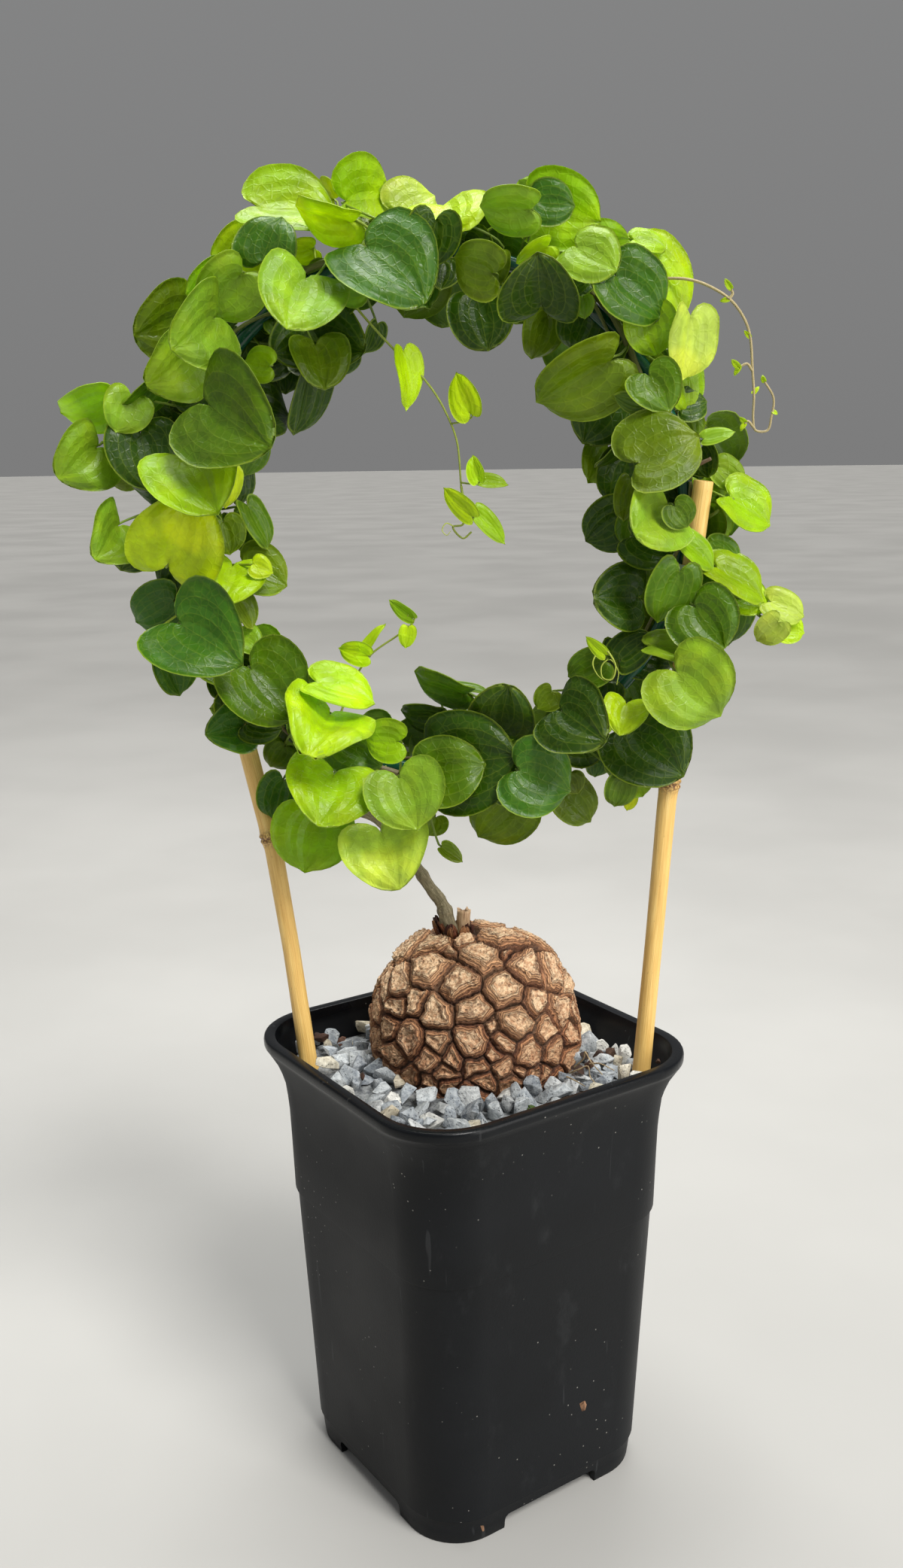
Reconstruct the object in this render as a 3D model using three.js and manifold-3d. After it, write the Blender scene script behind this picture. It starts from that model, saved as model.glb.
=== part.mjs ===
// Potted tortoise plant: a corky tuber in a square pot, its vine trained round a hoop on two canes.
// Millimetres, +Z up. X runs along the plane of the hoop and -Y is the front. The origin is the middle
// of the whole footprint on the surface the pot stands on.
import * as THREE from 'three';
import { mergeVertices } from 'three/addons/utils/BufferGeometryUtils.js';
import { ConvexGeometry } from 'three/addons/geometries/ConvexGeometry.js';
import { ConvexHull } from 'three/addons/math/ConvexHull.js';
import Module from 'manifold-3d';

const wasm = await Module();
wasm.setup();

// Driving dimensions. The pot's axis is the origin of all places below, and the last group moves the
// finished plant so that the origin lies under the middle of its outline.
const POT_AXIS_X = 14.5;
const POT_TURN = THREE.MathUtils.degToRad(41);
const POT_RIM_TOP = 198.4;
const POT_FLOOR = 12.3;
const POT_CORNER_STEPS = 3;
const FOOT_HOLLOW_TOP = 9.3;
const FOOT_HOLLOW_CORNER = 21;
const FOOT_WALL = 3;
const FOOT_GAP_WIDTH = 50;
const FOOT_GAP_HEIGHT = 7;
const DRAIN_RADIUS = 5;
const DRAIN_SPREAD = 32;
const DRAIN_SIDES = 6;
const DRAIN_CUT = 20;
const FOOT_CUT = 200;
const GAP = 0.3;

const SOIL_TOP = 178;
const GRAVEL_BED_TOP = 182.5;
const GRAVEL_TOP = 187;
const STONE_SPACING = 14.5;
const STONE_SIZE = [5.8, 8.4];
const STONE_CORNERS = 8;
// How far the stones' middles reach: in all, from the pot's axis to a side, and over two sides together.
const GRAVEL_REACH = 95;
const STONE_SIDE_REACH = 64;
const STONE_CORNER_REACH = 108;

const TUBER_CENTRE = new THREE.Vector3(0.5, 15, 196);
const TUBER_RADIUS = 47;
const TUBER_RISE = 49;
const TUBER_DEPTH = 36;
const TUBER_SQUARENESS = 2.2;
const FISSURE_DEPTH = 0.085;
const PLATE_INSET = 0.17;
const RECESS_SIDES = 14;
const RECESS_SCALE = 1.09;

const HOOP_CENTRE = new THREE.Vector3(-14.6, 0, 422.4);
const HOOP_RADIUS = 103.3;
const HOOP_WIRE_RADIUS = 3;

const CANE_RADIUS = 3.9;
const CANE_KNOT_RADIUS = 4.7;
const TIE_HEIGHT = 3;
const TIE_THICKNESS = 1.1;
const TIE_SLACK = 0.5;
const TIE_LEFT_Z = 396;
const TIE_RIGHT_Z = 403;

const STRETCH_COUNT = 8;
const STRETCH_START = THREE.MathUtils.degToRad(233);
const STRETCH_ANGLE = 2 * Math.PI / STRETCH_COUNT;
const VINE_RADIUS = 1.4;
const SIDE_SHOOT_RADIUS = 0.9;
const SIDE_SHOOT_STEPS = 5;
const SIDE_SHOOT_REACH = 26;
const PETIOLE_RADIUS = 0.65;
const BLADE_THICKNESS = 0.8;
const CLEAR_THICKNESS = 1.3;

// The leaves are listed as a viewer in front sees them against the plane of the hoop, from this point.
const EYE = new THREE.Vector3(61.5, -591.3, 448.8);

const COLOURS = {
  pot: 0x1d1e20, soil: 0x33261c, gravel: 0x8e9499, caudex: 0xa9794f, stem: 0x8b8468, stub: 0xb59a6d,
  hoop: 0x16402c, cane: 0xd9ad66, tie: 0xe4e6e2, leaf: 0x5f9a24, shoot: 0xa9cc2c, tendril: 0xcfc9a0,
};

// Joins and cuts

function solid(geometry) {
  const bare = geometry.index ? geometry.toNonIndexed() : geometry.clone();
  bare.deleteAttribute('normal');
  bare.deleteAttribute('uv');
  const merged = mergeVertices(bare, 1e-4);
  return new wasm.Manifold(new wasm.Mesh({
    numProp: 3,
    vertProperties: new Float32Array(merged.attributes.position.array),
    triVerts: new Uint32Array(merged.index.array),
  }));
}

function geometryOf(body) {
  const mesh = body.getMesh();
  const geometry = new THREE.BufferGeometry();
  geometry.setAttribute('position', new THREE.BufferAttribute(mesh.vertProperties, 3));
  geometry.setIndex(new THREE.BufferAttribute(mesh.triVerts, 1));
  geometry.computeVertexNormals();
  return geometry;
}

function joined(bodies) {
  return bodies.reduce((whole, body) => whole.add(body));
}

function largestPiece(body) {
  const pieces = body.decompose();
  return pieces.reduce((largest, piece) => (piece.volume() > largest.volume() ? piece : largest));
}

function node(name, geometry, color, roughness) {
  const mesh = new THREE.Mesh(geometry, new THREE.MeshStandardMaterial({ color, roughness }));
  mesh.name = name;
  return mesh;
}

// Small random numbers with a fixed seed, so that the plant is the same every time.
function randomFrom(seed) {
  let state = seed >>> 0;
  return () => {
    state = (state + 0x6d2b79f5) >>> 0;
    let t = state;
    t = Math.imul(t ^ (t >>> 15), t | 1);
    t ^= t + Math.imul(t ^ (t >>> 7), t | 61);
    return ((t ^ (t >>> 14)) >>> 0) / 4294967296;
  };
}

// A closed surface from points and triangles, turned inside out if its faces point in.
function surface(points, triangles) {
  let volume = 0;
  for (const [a, b, c] of triangles) {
    volume += points[a].dot(new THREE.Vector3().crossVectors(points[b], points[c]));
  }
  const facing = volume > 0 ? triangles : triangles.map(([a, b, c]) => [a, c, b]);
  const geometry = new THREE.BufferGeometry().setFromPoints(points);
  geometry.setIndex(facing.flat());
  return solid(geometry);
}

// A skin over rings of points, each with as many points as the next, closed by a flat cap at each end.
function loft(rings) {
  const points = rings.flat();
  const sides = rings[0].length;
  const triangles = [];
  for (let ring = 0; ring + 1 < rings.length; ring += 1) {
    for (let side = 0; side < sides; side += 1) {
      const here = ring * sides + side;
      const next = ring * sides + (side + 1) % sides;
      triangles.push([here, next, next + sides], [here, next + sides, here + sides]);
    }
  }
  const last = (rings.length - 1) * sides;
  for (let side = 1; side + 1 < sides; side += 1) {
    triangles.push([0, side + 1, side], [last, last + side, last + side + 1]);
  }
  return surface(points, triangles);
}

// A round bar through a list of points, with a radius for each point or one for all.
function bar(path, radius, sides) {
  const across = new THREE.Vector3(0.31, 0.87, 0.38);
  const rings = path.map((point, step) => {
    const before = path[Math.max(step - 1, 0)];
    const after = path[Math.min(step + 1, path.length - 1)];
    const along = after.clone().sub(before).normalize();
    const u = across.clone().addScaledVector(along, -across.dot(along)).normalize();
    const v = new THREE.Vector3().crossVectors(along, u);
    across.copy(u);
    const size = Array.isArray(radius) ? radius[step] : radius;
    return Array.from({ length: sides }, (_, side) => {
      const turn = 2 * Math.PI * side / sides;
      const offset = u.clone().multiplyScalar(Math.cos(turn)).addScaledVector(v, Math.sin(turn));
      return point.clone().addScaledVector(offset, size);
    });
  });
  return loft(rings);
}

function points(list) {
  return list.map(([x, y, z]) => new THREE.Vector3(x, y, z));
}

function smooth(list, steps) {
  return new THREE.CatmullRomCurve3(points(list)).getSpacedPoints(steps);
}

// Pot

// A square outline with round corners, turned as the pot stands.
function squareRing(side, cornerRadius, z) {
  const ring = [];
  const inset = side / 2 - cornerRadius;
  for (let corner = 0; corner < 4; corner += 1) {
    const middle = corner * Math.PI / 2 + Math.PI / 4;
    const centreX = inset * Math.SQRT2 * Math.cos(middle);
    const centreY = inset * Math.SQRT2 * Math.sin(middle);
    for (let step = 0; step <= POT_CORNER_STEPS; step += 1) {
      const turn = middle - Math.PI / 4 + (Math.PI / 2) * step / POT_CORNER_STEPS;
      const x = centreX + cornerRadius * Math.cos(turn);
      const y = centreY + cornerRadius * Math.sin(turn);
      ring.push(new THREE.Vector3(
        x * Math.cos(POT_TURN) - y * Math.sin(POT_TURN),
        x * Math.sin(POT_TURN) + y * Math.cos(POT_TURN), z));
    }
  }
  return ring;
}

// Height, side and corner radius of the outside and of the inside.
const POT_OUTSIDE = [
  [0, 114.5, 24], [11.7, 117, 25], [12.2, 118.2, 25], [125.2, 128.3, 26], [125.9, 129.6, 26],
  [163, 132.2, 27], [177, 135, 28], [187, 141.5, 30], [193.6, 149, 32], [197.4, 150, 32],
  [POT_RIM_TOP, 148.4, 31.2],
];
const POT_INSIDE = [[POT_RIM_TOP, 140, 28], [192, 138, 27], [180, 129.5, 24.5], [POT_FLOOR, 113, 22.5]];

function makePot() {
  const hollow = squareRing(POT_OUTSIDE[0][1] - 2 * FOOT_WALL, FOOT_HOLLOW_CORNER, FOOT_HOLLOW_TOP);
  const rings = [hollow, hollow.map((point) => point.clone().setZ(0))];
  for (const [z, side, radius] of [...POT_OUTSIDE, ...POT_INSIDE]) {
    rings.push(squareRing(side, radius, z));
  }
  let pot = loft(rings);
  for (let side = 0; side < 2; side += 1) {
    const gap = new THREE.BoxGeometry(FOOT_GAP_WIDTH, FOOT_CUT, 2 * FOOT_GAP_HEIGHT);
    gap.rotateZ(POT_TURN + side * Math.PI / 2);
    pot = pot.subtract(solid(gap));
  }
  for (let hole = 0; hole < 4; hole += 1) {
    const turn = POT_TURN + hole * Math.PI / 2;
    const drain = new THREE.CylinderGeometry(DRAIN_RADIUS, DRAIN_RADIUS, DRAIN_CUT, DRAIN_SIDES);
    drain.rotateX(Math.PI / 2);
    drain.translate(DRAIN_SPREAD * Math.cos(turn), DRAIN_SPREAD * Math.sin(turn), POT_FLOOR);
    pot = pot.subtract(solid(drain));
  }
  return pot;
}

// The room inside the pot between two heights, clear of its wall.
function insideWall(from, to) {
  const inner = [...POT_INSIDE].reverse();
  const heights = [from, ...inner.map(([z]) => z).filter((z) => z > from && z < to), to];
  return loft(heights.map((z) => {
    const upper = Math.max(1, inner.findIndex(([edge]) => edge >= z - 1e-6));
    const [z0, side0, radius0] = inner[upper - 1];
    const [z1, side1, radius1] = inner[upper];
    const part = (z - z0) / (z1 - z0);
    const side = side0 + (side1 - side0) * part - 2 * GAP;
    return squareRing(side, radius0 + (radius1 - radius0) * part, z);
  }));
}

// Tuber

function tuberPoint(direction, scale = 1) {
  const flat = Math.hypot(direction.x, direction.y) / TUBER_RADIUS;
  const tall = Math.abs(direction.z) / (direction.z > 0 ? TUBER_RISE : TUBER_DEPTH);
  const power = TUBER_SQUARENESS;
  const reach = (flat ** power + tall ** power) ** (-1 / power);
  return TUBER_CENTRE.clone().addScaledVector(direction, reach * scale);
}

// Plates that show from the front: x and z of the middle on the plane through the tuber's centre, and
// how far the plate stands out.
const FRONT_PLATES = [
  [12.5, 247, 1.05], [-22, 232, 1], [3.5, 234, 1], [28, 231, 1.03], [36, 231, 0.99], [-7.5, 225, 1.01],
  [-25.5, 221, 0.97], [-33.5, 223, 0.97], [-35.5, 213, 0.99], [-26, 214, 0.98], [-17, 209, 1.01],
  [-0.5, 211, 1.01], [15, 220, 1.03], [18.5, 206, 1.02], [28, 217, 1.01], [40.5, 217, 1.01],
  [37.5, 211, 1], [34, 201, 1], [43.5, 201, 1], [-41, 207, 1], [-29.5, 203, 1], [-28, 192, 0.99],
  [-41, 199, 1], [-46.5, 194, 1], [-36.5, 190, 0.99], [-1.5, 198, 1], [-16, 196.5, 1], [-20.5, 188.5, 0.98],
  [-9.5, 189, 0.98], [14.5, 199, 1], [9, 192, 0.99], [24, 194.5, 1], [22.5, 187, 0.97], [2, 186, 0.97],
  [13, 184.5, 0.97], [33.5, 190.5, 0.98], [43.5, 191, 0.99], [-31, 181.5, 0.97], [-40, 182, 0.97],
  [-17.5, 180, 0.96], [-7, 178.5, 0.96], [6, 178, 0.96], [17.5, 178, 0.96], [-23.5, 176, 0.95],
  [27, 181, 0.96], [40, 185.5, 0.97],
];
const PLATE_PLANE_Y = -6;
const HIDDEN_PLATES = 92;
// Least distances between the middles of hidden plates and others, above and under the ground.
const PLATE_SPACING = 0.27;
const BURIED_PLATE_SPACING = 0.5;
// The stretch of a line of sight in which it meets the tuber.
const SIGHT_FROM = 500;
const SIGHT_TO = 720;

// Where the line of sight to a place on the plates' plane meets the tuber.
function seenOnTuber(x, z) {
  const target = new THREE.Vector3(x, PLATE_PLANE_Y, z);
  const sight = target.clone().sub(EYE).normalize();
  let nearest = null;
  let least = Infinity;
  for (let travel = SIGHT_FROM; travel < SIGHT_TO; travel += 1) {
    const offset = EYE.clone().addScaledVector(sight, travel).sub(TUBER_CENTRE);
    const direction = offset.clone().normalize();
    const excess = offset.length() - tuberPoint(direction).distanceTo(TUBER_CENTRE);
    if (excess < 0) {
      return direction;
    }
    if (excess < least) {
      least = excess;
      nearest = direction;
    }
  }
  return nearest;
}

// The low plate in the crown that the stem grows from.
const CROWN = new THREE.Vector3(-9, 15.5, 240);
const CROWN_HEIGHT = 0.9;

function plateSeeds() {
  const seeds = FRONT_PLATES.map(([x, z, height]) => ({ direction: seenOnTuber(x, z), height }));
  seeds.push({ direction: CROWN.clone().sub(TUBER_CENTRE).normalize(), height: CROWN_HEIGHT });
  const random = randomFrom(7);
  const golden = Math.PI * (3 - Math.sqrt(5));
  for (let i = 0; i < HIDDEN_PLATES; i += 1) {
    const up = 1 - 2 * (i + 0.5) / HIDDEN_PLATES;
    const turn = golden * i + 0.5 * random();
    const flat = Math.sqrt(1 - up * up);
    const direction = new THREE.Vector3(flat * Math.cos(turn), flat * Math.sin(turn), up);
    const height = 0.97 + 0.06 * random();
    const apart = Math.min(...seeds.map((seed) => seed.direction.distanceTo(direction)));
    if (apart > (up < -0.5 ? BURIED_PLATE_SPACING : PLATE_SPACING)) {
      seeds.push({ direction, height: up > 0.2 ? height : 0.97 });
    }
  }
  return seeds;
}

// The tuber's cork: every cell of the seeds' pattern is a raised plate with sloping sides, and the
// cells share the bottoms of the fissures between them. Grow lifts the whole skin.
function makeTuber(grow = 0) {
  const seeds = plateSeeds();
  const hull = new ConvexHull().setFromPoints(seeds.map((seed) => seed.direction));
  const corners = hull.faces.map((face) => face.normal.clone().normalize());
  const skin = (direction, scale) => {
    const point = tuberPoint(direction, scale);
    return point.addScaledVector(direction, grow);
  };
  const vertices = corners.map((corner) => skin(corner, 1 - FISSURE_DEPTH));
  const triangles = [];
  for (const seed of seeds) {
    const around = [];
    hull.faces.forEach((face, index) => {
      let edge = face.edge;
      for (let side = 0; side < 3; side += 1) {
        if (edge.head().point === seed.direction) {
          around.push(index);
        }
        edge = edge.next;
      }
    });
    const u = new THREE.Vector3(0.2, 0.5, 0.9).cross(seed.direction).normalize();
    const v = new THREE.Vector3().crossVectors(seed.direction, u);
    const turn = (index) => Math.atan2(corners[index].dot(v), corners[index].dot(u));
    around.sort((a, b) => turn(a) - turn(b));
    const middle = vertices.length;
    vertices.push(skin(seed.direction, seed.height));
    for (const index of around) {
      const raised = corners[index].clone().lerp(seed.direction, PLATE_INSET).normalize();
      vertices.push(skin(raised, seed.height));
    }
    around.forEach((index, side) => {
      const other = (side + 1) % around.length;
      const top = middle + 1 + side;
      const topNext = middle + 1 + other;
      triangles.push([middle, top, topNext]);
      triangles.push([top, index, around[other]], [top, around[other], topNext]);
    });
  }
  return surface(vertices, triangles);
}

// The smooth outer form of the tuber, a little larger than its plates, for the hollow it sits in.
function tuberRecess() {
  const rings = [];
  for (let step = 1; step < 6; step += 1) {
    const tilt = -Math.PI / 2 + step * 0.32;
    rings.push(Array.from({ length: RECESS_SIDES }, (_, side) => {
      const turn = 2 * Math.PI * side / RECESS_SIDES;
      const direction = new THREE.Vector3(
        Math.cos(tilt) * Math.cos(turn), Math.cos(tilt) * Math.sin(turn), Math.sin(tilt));
      return tuberPoint(direction, RECESS_SCALE);
    }));
  }
  return loft(rings);
}

// Stems

const MAIN_STEM = [
  [-7.4, 15, 230], [-8.8, 15, 238], [-10.4, 15, 244.5], [-13.2, 14, 255.5], [-18.2, 13.3, 262.9],
  [-23.1, 12, 271.4], [-39.3, 10, 293.4],
  [-50.7, 8.7, 300.3], [-63, 8.2, 312.8], [-70.5, 7.8, 323], [-73.4, 6.6, 332], [-73.6, 5.7, 337.7],
  [-76.2, 5.4, 339.8],
];
const MAIN_STEM_RADIUS = 3.1;
const MAIN_STEM_THINNING = 1.5;
const STUB = [[-3.8, 19, 229], [-4.6, 18.4, 241], [-4, 18.2, 251.5]];
const STUB_RADII = [2.6, 2.6, 3];
// Dry scales round the foot of the stem, from their feet to their tips.
const BRACTS = 5;
const BRACT_FOOT = new THREE.Vector3(-8.4, 15, 233);
const BRACT_TIP = new THREE.Vector3(-9.4, 15, 243);
const BRACT_FOOT_SPREAD = 2.2;
const BRACT_TIP_SPREAD = 5;
const BRACT_RADII = [1.9, 0.5];

function makeMainStem(tuber) {
  const path = smooth(MAIN_STEM, 18);
  const radii = path.map((_, step) => MAIN_STEM_RADIUS - MAIN_STEM_THINNING * Math.min(1, step / 15));
  let stem = bar(path, radii, 6);
  for (let i = 0; i < BRACTS; i += 1) {
    const turn = THREE.MathUtils.degToRad(105 + 50 * i);
    const outward = new THREE.Vector3(Math.cos(turn), Math.sin(turn), 0);
    const foot = BRACT_FOOT.clone().addScaledVector(outward, BRACT_FOOT_SPREAD);
    const tip = BRACT_TIP.clone().addScaledVector(outward, BRACT_TIP_SPREAD);
    tip.z += 2 * (i % 2);
    stem = stem.add(bar([foot, tip], BRACT_RADII, 4));
  }
  return largestPiece(stem.subtract(tuber));
}

function makeStub(tuber) {
  return largestPiece(bar(points(STUB), STUB_RADII, 7).subtract(tuber));
}

// Hoop, canes and ties

function makeHoop() {
  const hoop = new THREE.TorusGeometry(HOOP_RADIUS, HOOP_WIRE_RADIUS, 6, 38);
  hoop.rotateX(Math.PI / 2);
  hoop.translate(HOOP_CENTRE.x, HOOP_CENTRE.y, HOOP_CENTRE.z);
  return solid(hoop);
}

const CANE_LEFT = [
  [-53.5, 2, 65], [-72.5, -1.3, 187.5], [-77.6, -3.4, 239.3], [-83.2, -5.1, 285], [-91.2, -6.4, 323.7],
  [-107.3, -8.3, 396.6], [-114.3, -9.2, 431.6],
];
const CANE_RIGHT = [
  [64, -3, 75], [74.8, -0.5, 187.5], [78.8, -1.8, 242.9], [83.2, -3.6, 307.5], [85.5, -4.4, 328.3],
  [90.9, -6.1, 403.2], [94.7, -7, 436.8],
];
const KNOT_LEFT_Z = 290;
const KNOT_RIGHT_Z = 315.5;
const KNOT_HALF = 4;

function pathAtHeight(path, z) {
  const upper = Math.max(1, path.findIndex((point) => point[2] >= z));
  const low = new THREE.Vector3(...path[upper - 1]);
  const high = new THREE.Vector3(...path[upper]);
  return low.lerp(high, (z - low.z) / (high.z - low.z));
}

function makeCane(path, knotZ, grow = 0) {
  const stops = path.map(([, , z]) => [z, CANE_RADIUS]);
  stops.push([knotZ - KNOT_HALF, CANE_RADIUS], [knotZ - 1, CANE_KNOT_RADIUS - 0.2]);
  stops.push([knotZ + 1, CANE_KNOT_RADIUS], [knotZ + KNOT_HALF, CANE_RADIUS]);
  stops.sort((a, b) => a[0] - b[0]);
  const line = stops.map(([z]) => pathAtHeight(path, z));
  return bar(line, stops.map(([, radius]) => radius + grow), 9);
}

function hoopAtHeight(z, side) {
  const rise = z - HOOP_CENTRE.z;
  return new THREE.Vector3(HOOP_CENTRE.x + side * Math.sqrt(HOOP_RADIUS ** 2 - rise ** 2), 0, z);
}

// A flat band round the hoop and the cane beside it.
function makeTie(cane, z, side) {
  const wire = hoopAtHeight(z, side);
  const pole = pathAtHeight(cane, z);
  const lean = Math.atan((hoopAtHeight(z + 5, side).x - hoopAtHeight(z - 5, side).x) / 10);
  const middle = wire.clone().add(pole).multiplyScalar(0.5);
  const toPole = Math.atan2(pole.y - wire.y, pole.x - wire.x);
  const half = wire.distanceTo(pole) / 2;
  const outline = (grow) => {
    const wireRadius = HOOP_WIRE_RADIUS + TIE_SLACK + grow;
    const poleRadius = CANE_RADIUS + TIE_SLACK + grow;
    const slope = Math.asin((poleRadius - wireRadius) / (2 * half));
    const ring = [];
    for (let step = 0; step <= 6; step += 1) {
      const turn = Math.PI / 2 + slope + (Math.PI - 2 * slope) * step / 6;
      ring.push([-half + wireRadius * Math.cos(turn), wireRadius * Math.sin(turn)]);
    }
    for (let step = 0; step <= 6; step += 1) {
      const turn = -Math.PI / 2 - slope + (Math.PI + 2 * slope) * step / 6;
      ring.push([half + poleRadius * Math.cos(turn), poleRadius * Math.sin(turn)]);
    }
    return ring.map(([x, y]) => new THREE.Vector2(x, y));
  };
  const block = (grow, height) => {
    const shape = new THREE.Shape(outline(grow));
    const geometry = new THREE.ExtrudeGeometry(shape, { depth: height, bevelEnabled: false, steps: 1 });
    geometry.translate(0, 0, -height / 2);
    geometry.rotateZ(toPole);
    geometry.rotateY(lean);
    geometry.translate(middle.x, middle.y, middle.z);
    return solid(geometry);
  };
  return block(TIE_THICKNESS, TIE_HEIGHT).subtract(block(0, 3 * TIE_HEIGHT));
}

// Gravel

function makeStone(centre, size, random) {
  const corners = [];
  const golden = Math.PI * (3 - Math.sqrt(5));
  const stretch = [1 + 0.35 * random(), 0.85 + 0.3 * random(), 0.7 + 0.25 * random()];
  const spin = 2 * Math.PI * random();
  for (let i = 0; i < STONE_CORNERS; i += 1) {
    const up = 1 - 2 * (i + 0.5) / STONE_CORNERS;
    const flat = Math.sqrt(1 - up * up);
    const turn = golden * i + 0.7 * random();
    const reach = size * (0.8 + 0.3 * random());
    const x = stretch[0] * flat * Math.cos(turn);
    const y = stretch[1] * flat * Math.sin(turn);
    corners.push(new THREE.Vector3(
      centre.x + reach * (x * Math.cos(spin) - y * Math.sin(spin)),
      centre.y + reach * (x * Math.sin(spin) + y * Math.cos(spin)),
      centre.z + reach * stretch[2] * up));
  }
  return solid(new ConvexGeometry(corners));
}

function makeGravel(holes) {
  const random = randomFrom(21);
  const stones = [insideWall(SOIL_TOP + GAP, GRAVEL_BED_TOP)];
  const reach = Math.ceil(GRAVEL_REACH / STONE_SPACING);
  for (let row = -reach; row <= reach; row += 1) {
    for (let column = -reach; column <= reach; column += 1) {
      const x = (column + 0.5 * (row & 1) + 0.34 * (random() - 0.5)) * STONE_SPACING;
      const y = (row * 0.87 + 0.34 * (random() - 0.5)) * STONE_SPACING;
      const size = STONE_SIZE[0] + (STONE_SIZE[1] - STONE_SIZE[0]) * random();
      const potX = Math.abs(x * Math.cos(POT_TURN) + y * Math.sin(POT_TURN));
      const potY = Math.abs(y * Math.cos(POT_TURN) - x * Math.sin(POT_TURN));
      const inWall = Math.max(potX, potY) < STONE_SIDE_REACH && potX + potY < STONE_CORNER_REACH;
      const outOfTuber = Math.hypot(x - TUBER_CENTRE.x, y - TUBER_CENTRE.y) > TUBER_RADIUS + 2;
      if (inWall && outOfTuber) {
        const centre = new THREE.Vector3(x, y, GRAVEL_TOP - 4.5 + 2.4 * (random() - 0.5));
        stones.push(makeStone(centre, size, random));
      }
    }
  }
  let gravel = joined(stones).intersect(insideWall(SOIL_TOP + GAP, POT_RIM_TOP - 1));
  for (const hole of holes) {
    gravel = gravel.subtract(hole);
  }
  return largestPiece(gravel);
}

function makeSoil(holes) {
  let soil = insideWall(POT_FLOOR + GAP, SOIL_TOP);
  for (const hole of holes) {
    soil = soil.subtract(hole);
  }
  return largestPiece(soil);
}

// Vine stem

// A place beside the hoop: angle round the ring, distance from the wire's centre, and the turn about
// the wire, from outward (0) over the back (90 degrees) to inward (180 degrees).
function besideHoop(angle, distance, turn) {
  const outward = new THREE.Vector3(Math.cos(angle), 0, Math.sin(angle));
  const point = HOOP_CENTRE.clone().addScaledVector(outward, HOOP_RADIUS + distance * Math.cos(turn));
  point.y += distance * Math.sin(turn);
  return point;
}

const TIE_ANGLES = [THREE.MathUtils.degToRad(-10.8), THREE.MathUtils.degToRad(194.8)];

// Degrees round the hoop, from its lower left and back there, and the vine's turn about the wire. It
// keeps to the back where the canes stand.
const WINDING = [
  [233, 200], [262, 290], [300, 450], [322, 455], [372, 480], [400, 630], [430, 810], [462, 990],
  [495, 1170], [535, 1195], [593, 1180],
];

function vineTurn(angle) {
  const past = ((angle - STRETCH_START) % (2 * Math.PI) + 2 * Math.PI) % (2 * Math.PI);
  const degrees = THREE.MathUtils.radToDeg(STRETCH_START + past);
  const upper = Math.max(1, WINDING.findIndex(([edge]) => edge >= degrees));
  const [angle0, turn0] = WINDING[upper - 1];
  const [angle1, turn1] = WINDING[upper];
  return THREE.MathUtils.degToRad(turn0 + (turn1 - turn0) * (degrees - angle0) / (angle1 - angle0));
}

function vineDistance(angle) {
  const lift = TIE_ANGLES.reduce((sum, tie) => {
    const away = Math.atan2(Math.sin(angle - tie), Math.cos(angle - tie));
    return sum + Math.exp(-((away / 0.14) ** 2));
  }, 0);
  return HOOP_WIRE_RADIUS + VINE_RADIUS + GAP + 0.25 + 1.9 * lift;
}

function vinePoint(angle) {
  return besideHoop(angle, vineDistance(angle), vineTurn(angle));
}

const STRETCH_END_GAP = 0.25 / HOOP_RADIUS;

function stretchStart(index) {
  return STRETCH_START + index * STRETCH_ANGLE;
}

function stretchStem(index) {
  const from = stretchStart(index) + STRETCH_END_GAP;
  const to = stretchStart(index + 1) - STRETCH_END_GAP;
  const path = Array.from({ length: 12 }, (_, step) => vinePoint(from + (to - from) * step / 11));
  return bar(path, VINE_RADIUS, 4);
}

function stretchOf(point) {
  const angle = Math.atan2(point.z - HOOP_CENTRE.z, point.x - HOOP_CENTRE.x);
  const past = ((angle - STRETCH_START) % (2 * Math.PI) + 2 * Math.PI) % (2 * Math.PI);
  return { index: Math.floor(past / STRETCH_ANGLE), angle: STRETCH_START + past };
}

// Side shoots that carry the leaves furthest from the hoop: stretch, then points from the vine outward.
const SIDE_SHOOTS = [
  { stretch: 6, path: [[-118, 2, 452], [-130, -2, 463], [-146, -4, 467]] },
  { stretch: 6, path: [[-118, 4, 440], [-131, 0, 446], [-148, -3, 455]] },
  { stretch: 2, path: [[93, 4, 421], [99, -3, 424], [107, -2, 430]] },
  { stretch: 2, path: [[92, 4.5, 409], [103, -2, 398], [112, -3, 389], [121, -4, 382]] },
];

// Leaves

// Half outlines in half widths: across, and along from the notch to the tip. The rib runs in the middle.
const BROAD_EDGE = [[0.5, -0.36], [0.98, 0.05], [0.98, 0.65], [0.5, 1.2]];
const PLAIN_EDGE = [[0.62, -0.34], [1, 0.35], [0.62, 1.1]];
const YOUNG_EDGE = [[0.8, -0.08], [0.86, 0.72]];
const TIP_ALONG = 1.5;
const RIB_MIDDLE = 0.75;
const CUP = 0.34;
const DROOP = 0.1;

// The place at a given depth on the line of sight to a point of the hoop's plane.
function seen(x, z, depth) {
  const part = (depth - EYE.y) / -EYE.y;
  return new THREE.Vector3(EYE.x + (x - EYE.x) * part, depth, EYE.z + (z - EYE.z) * part);
}

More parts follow.
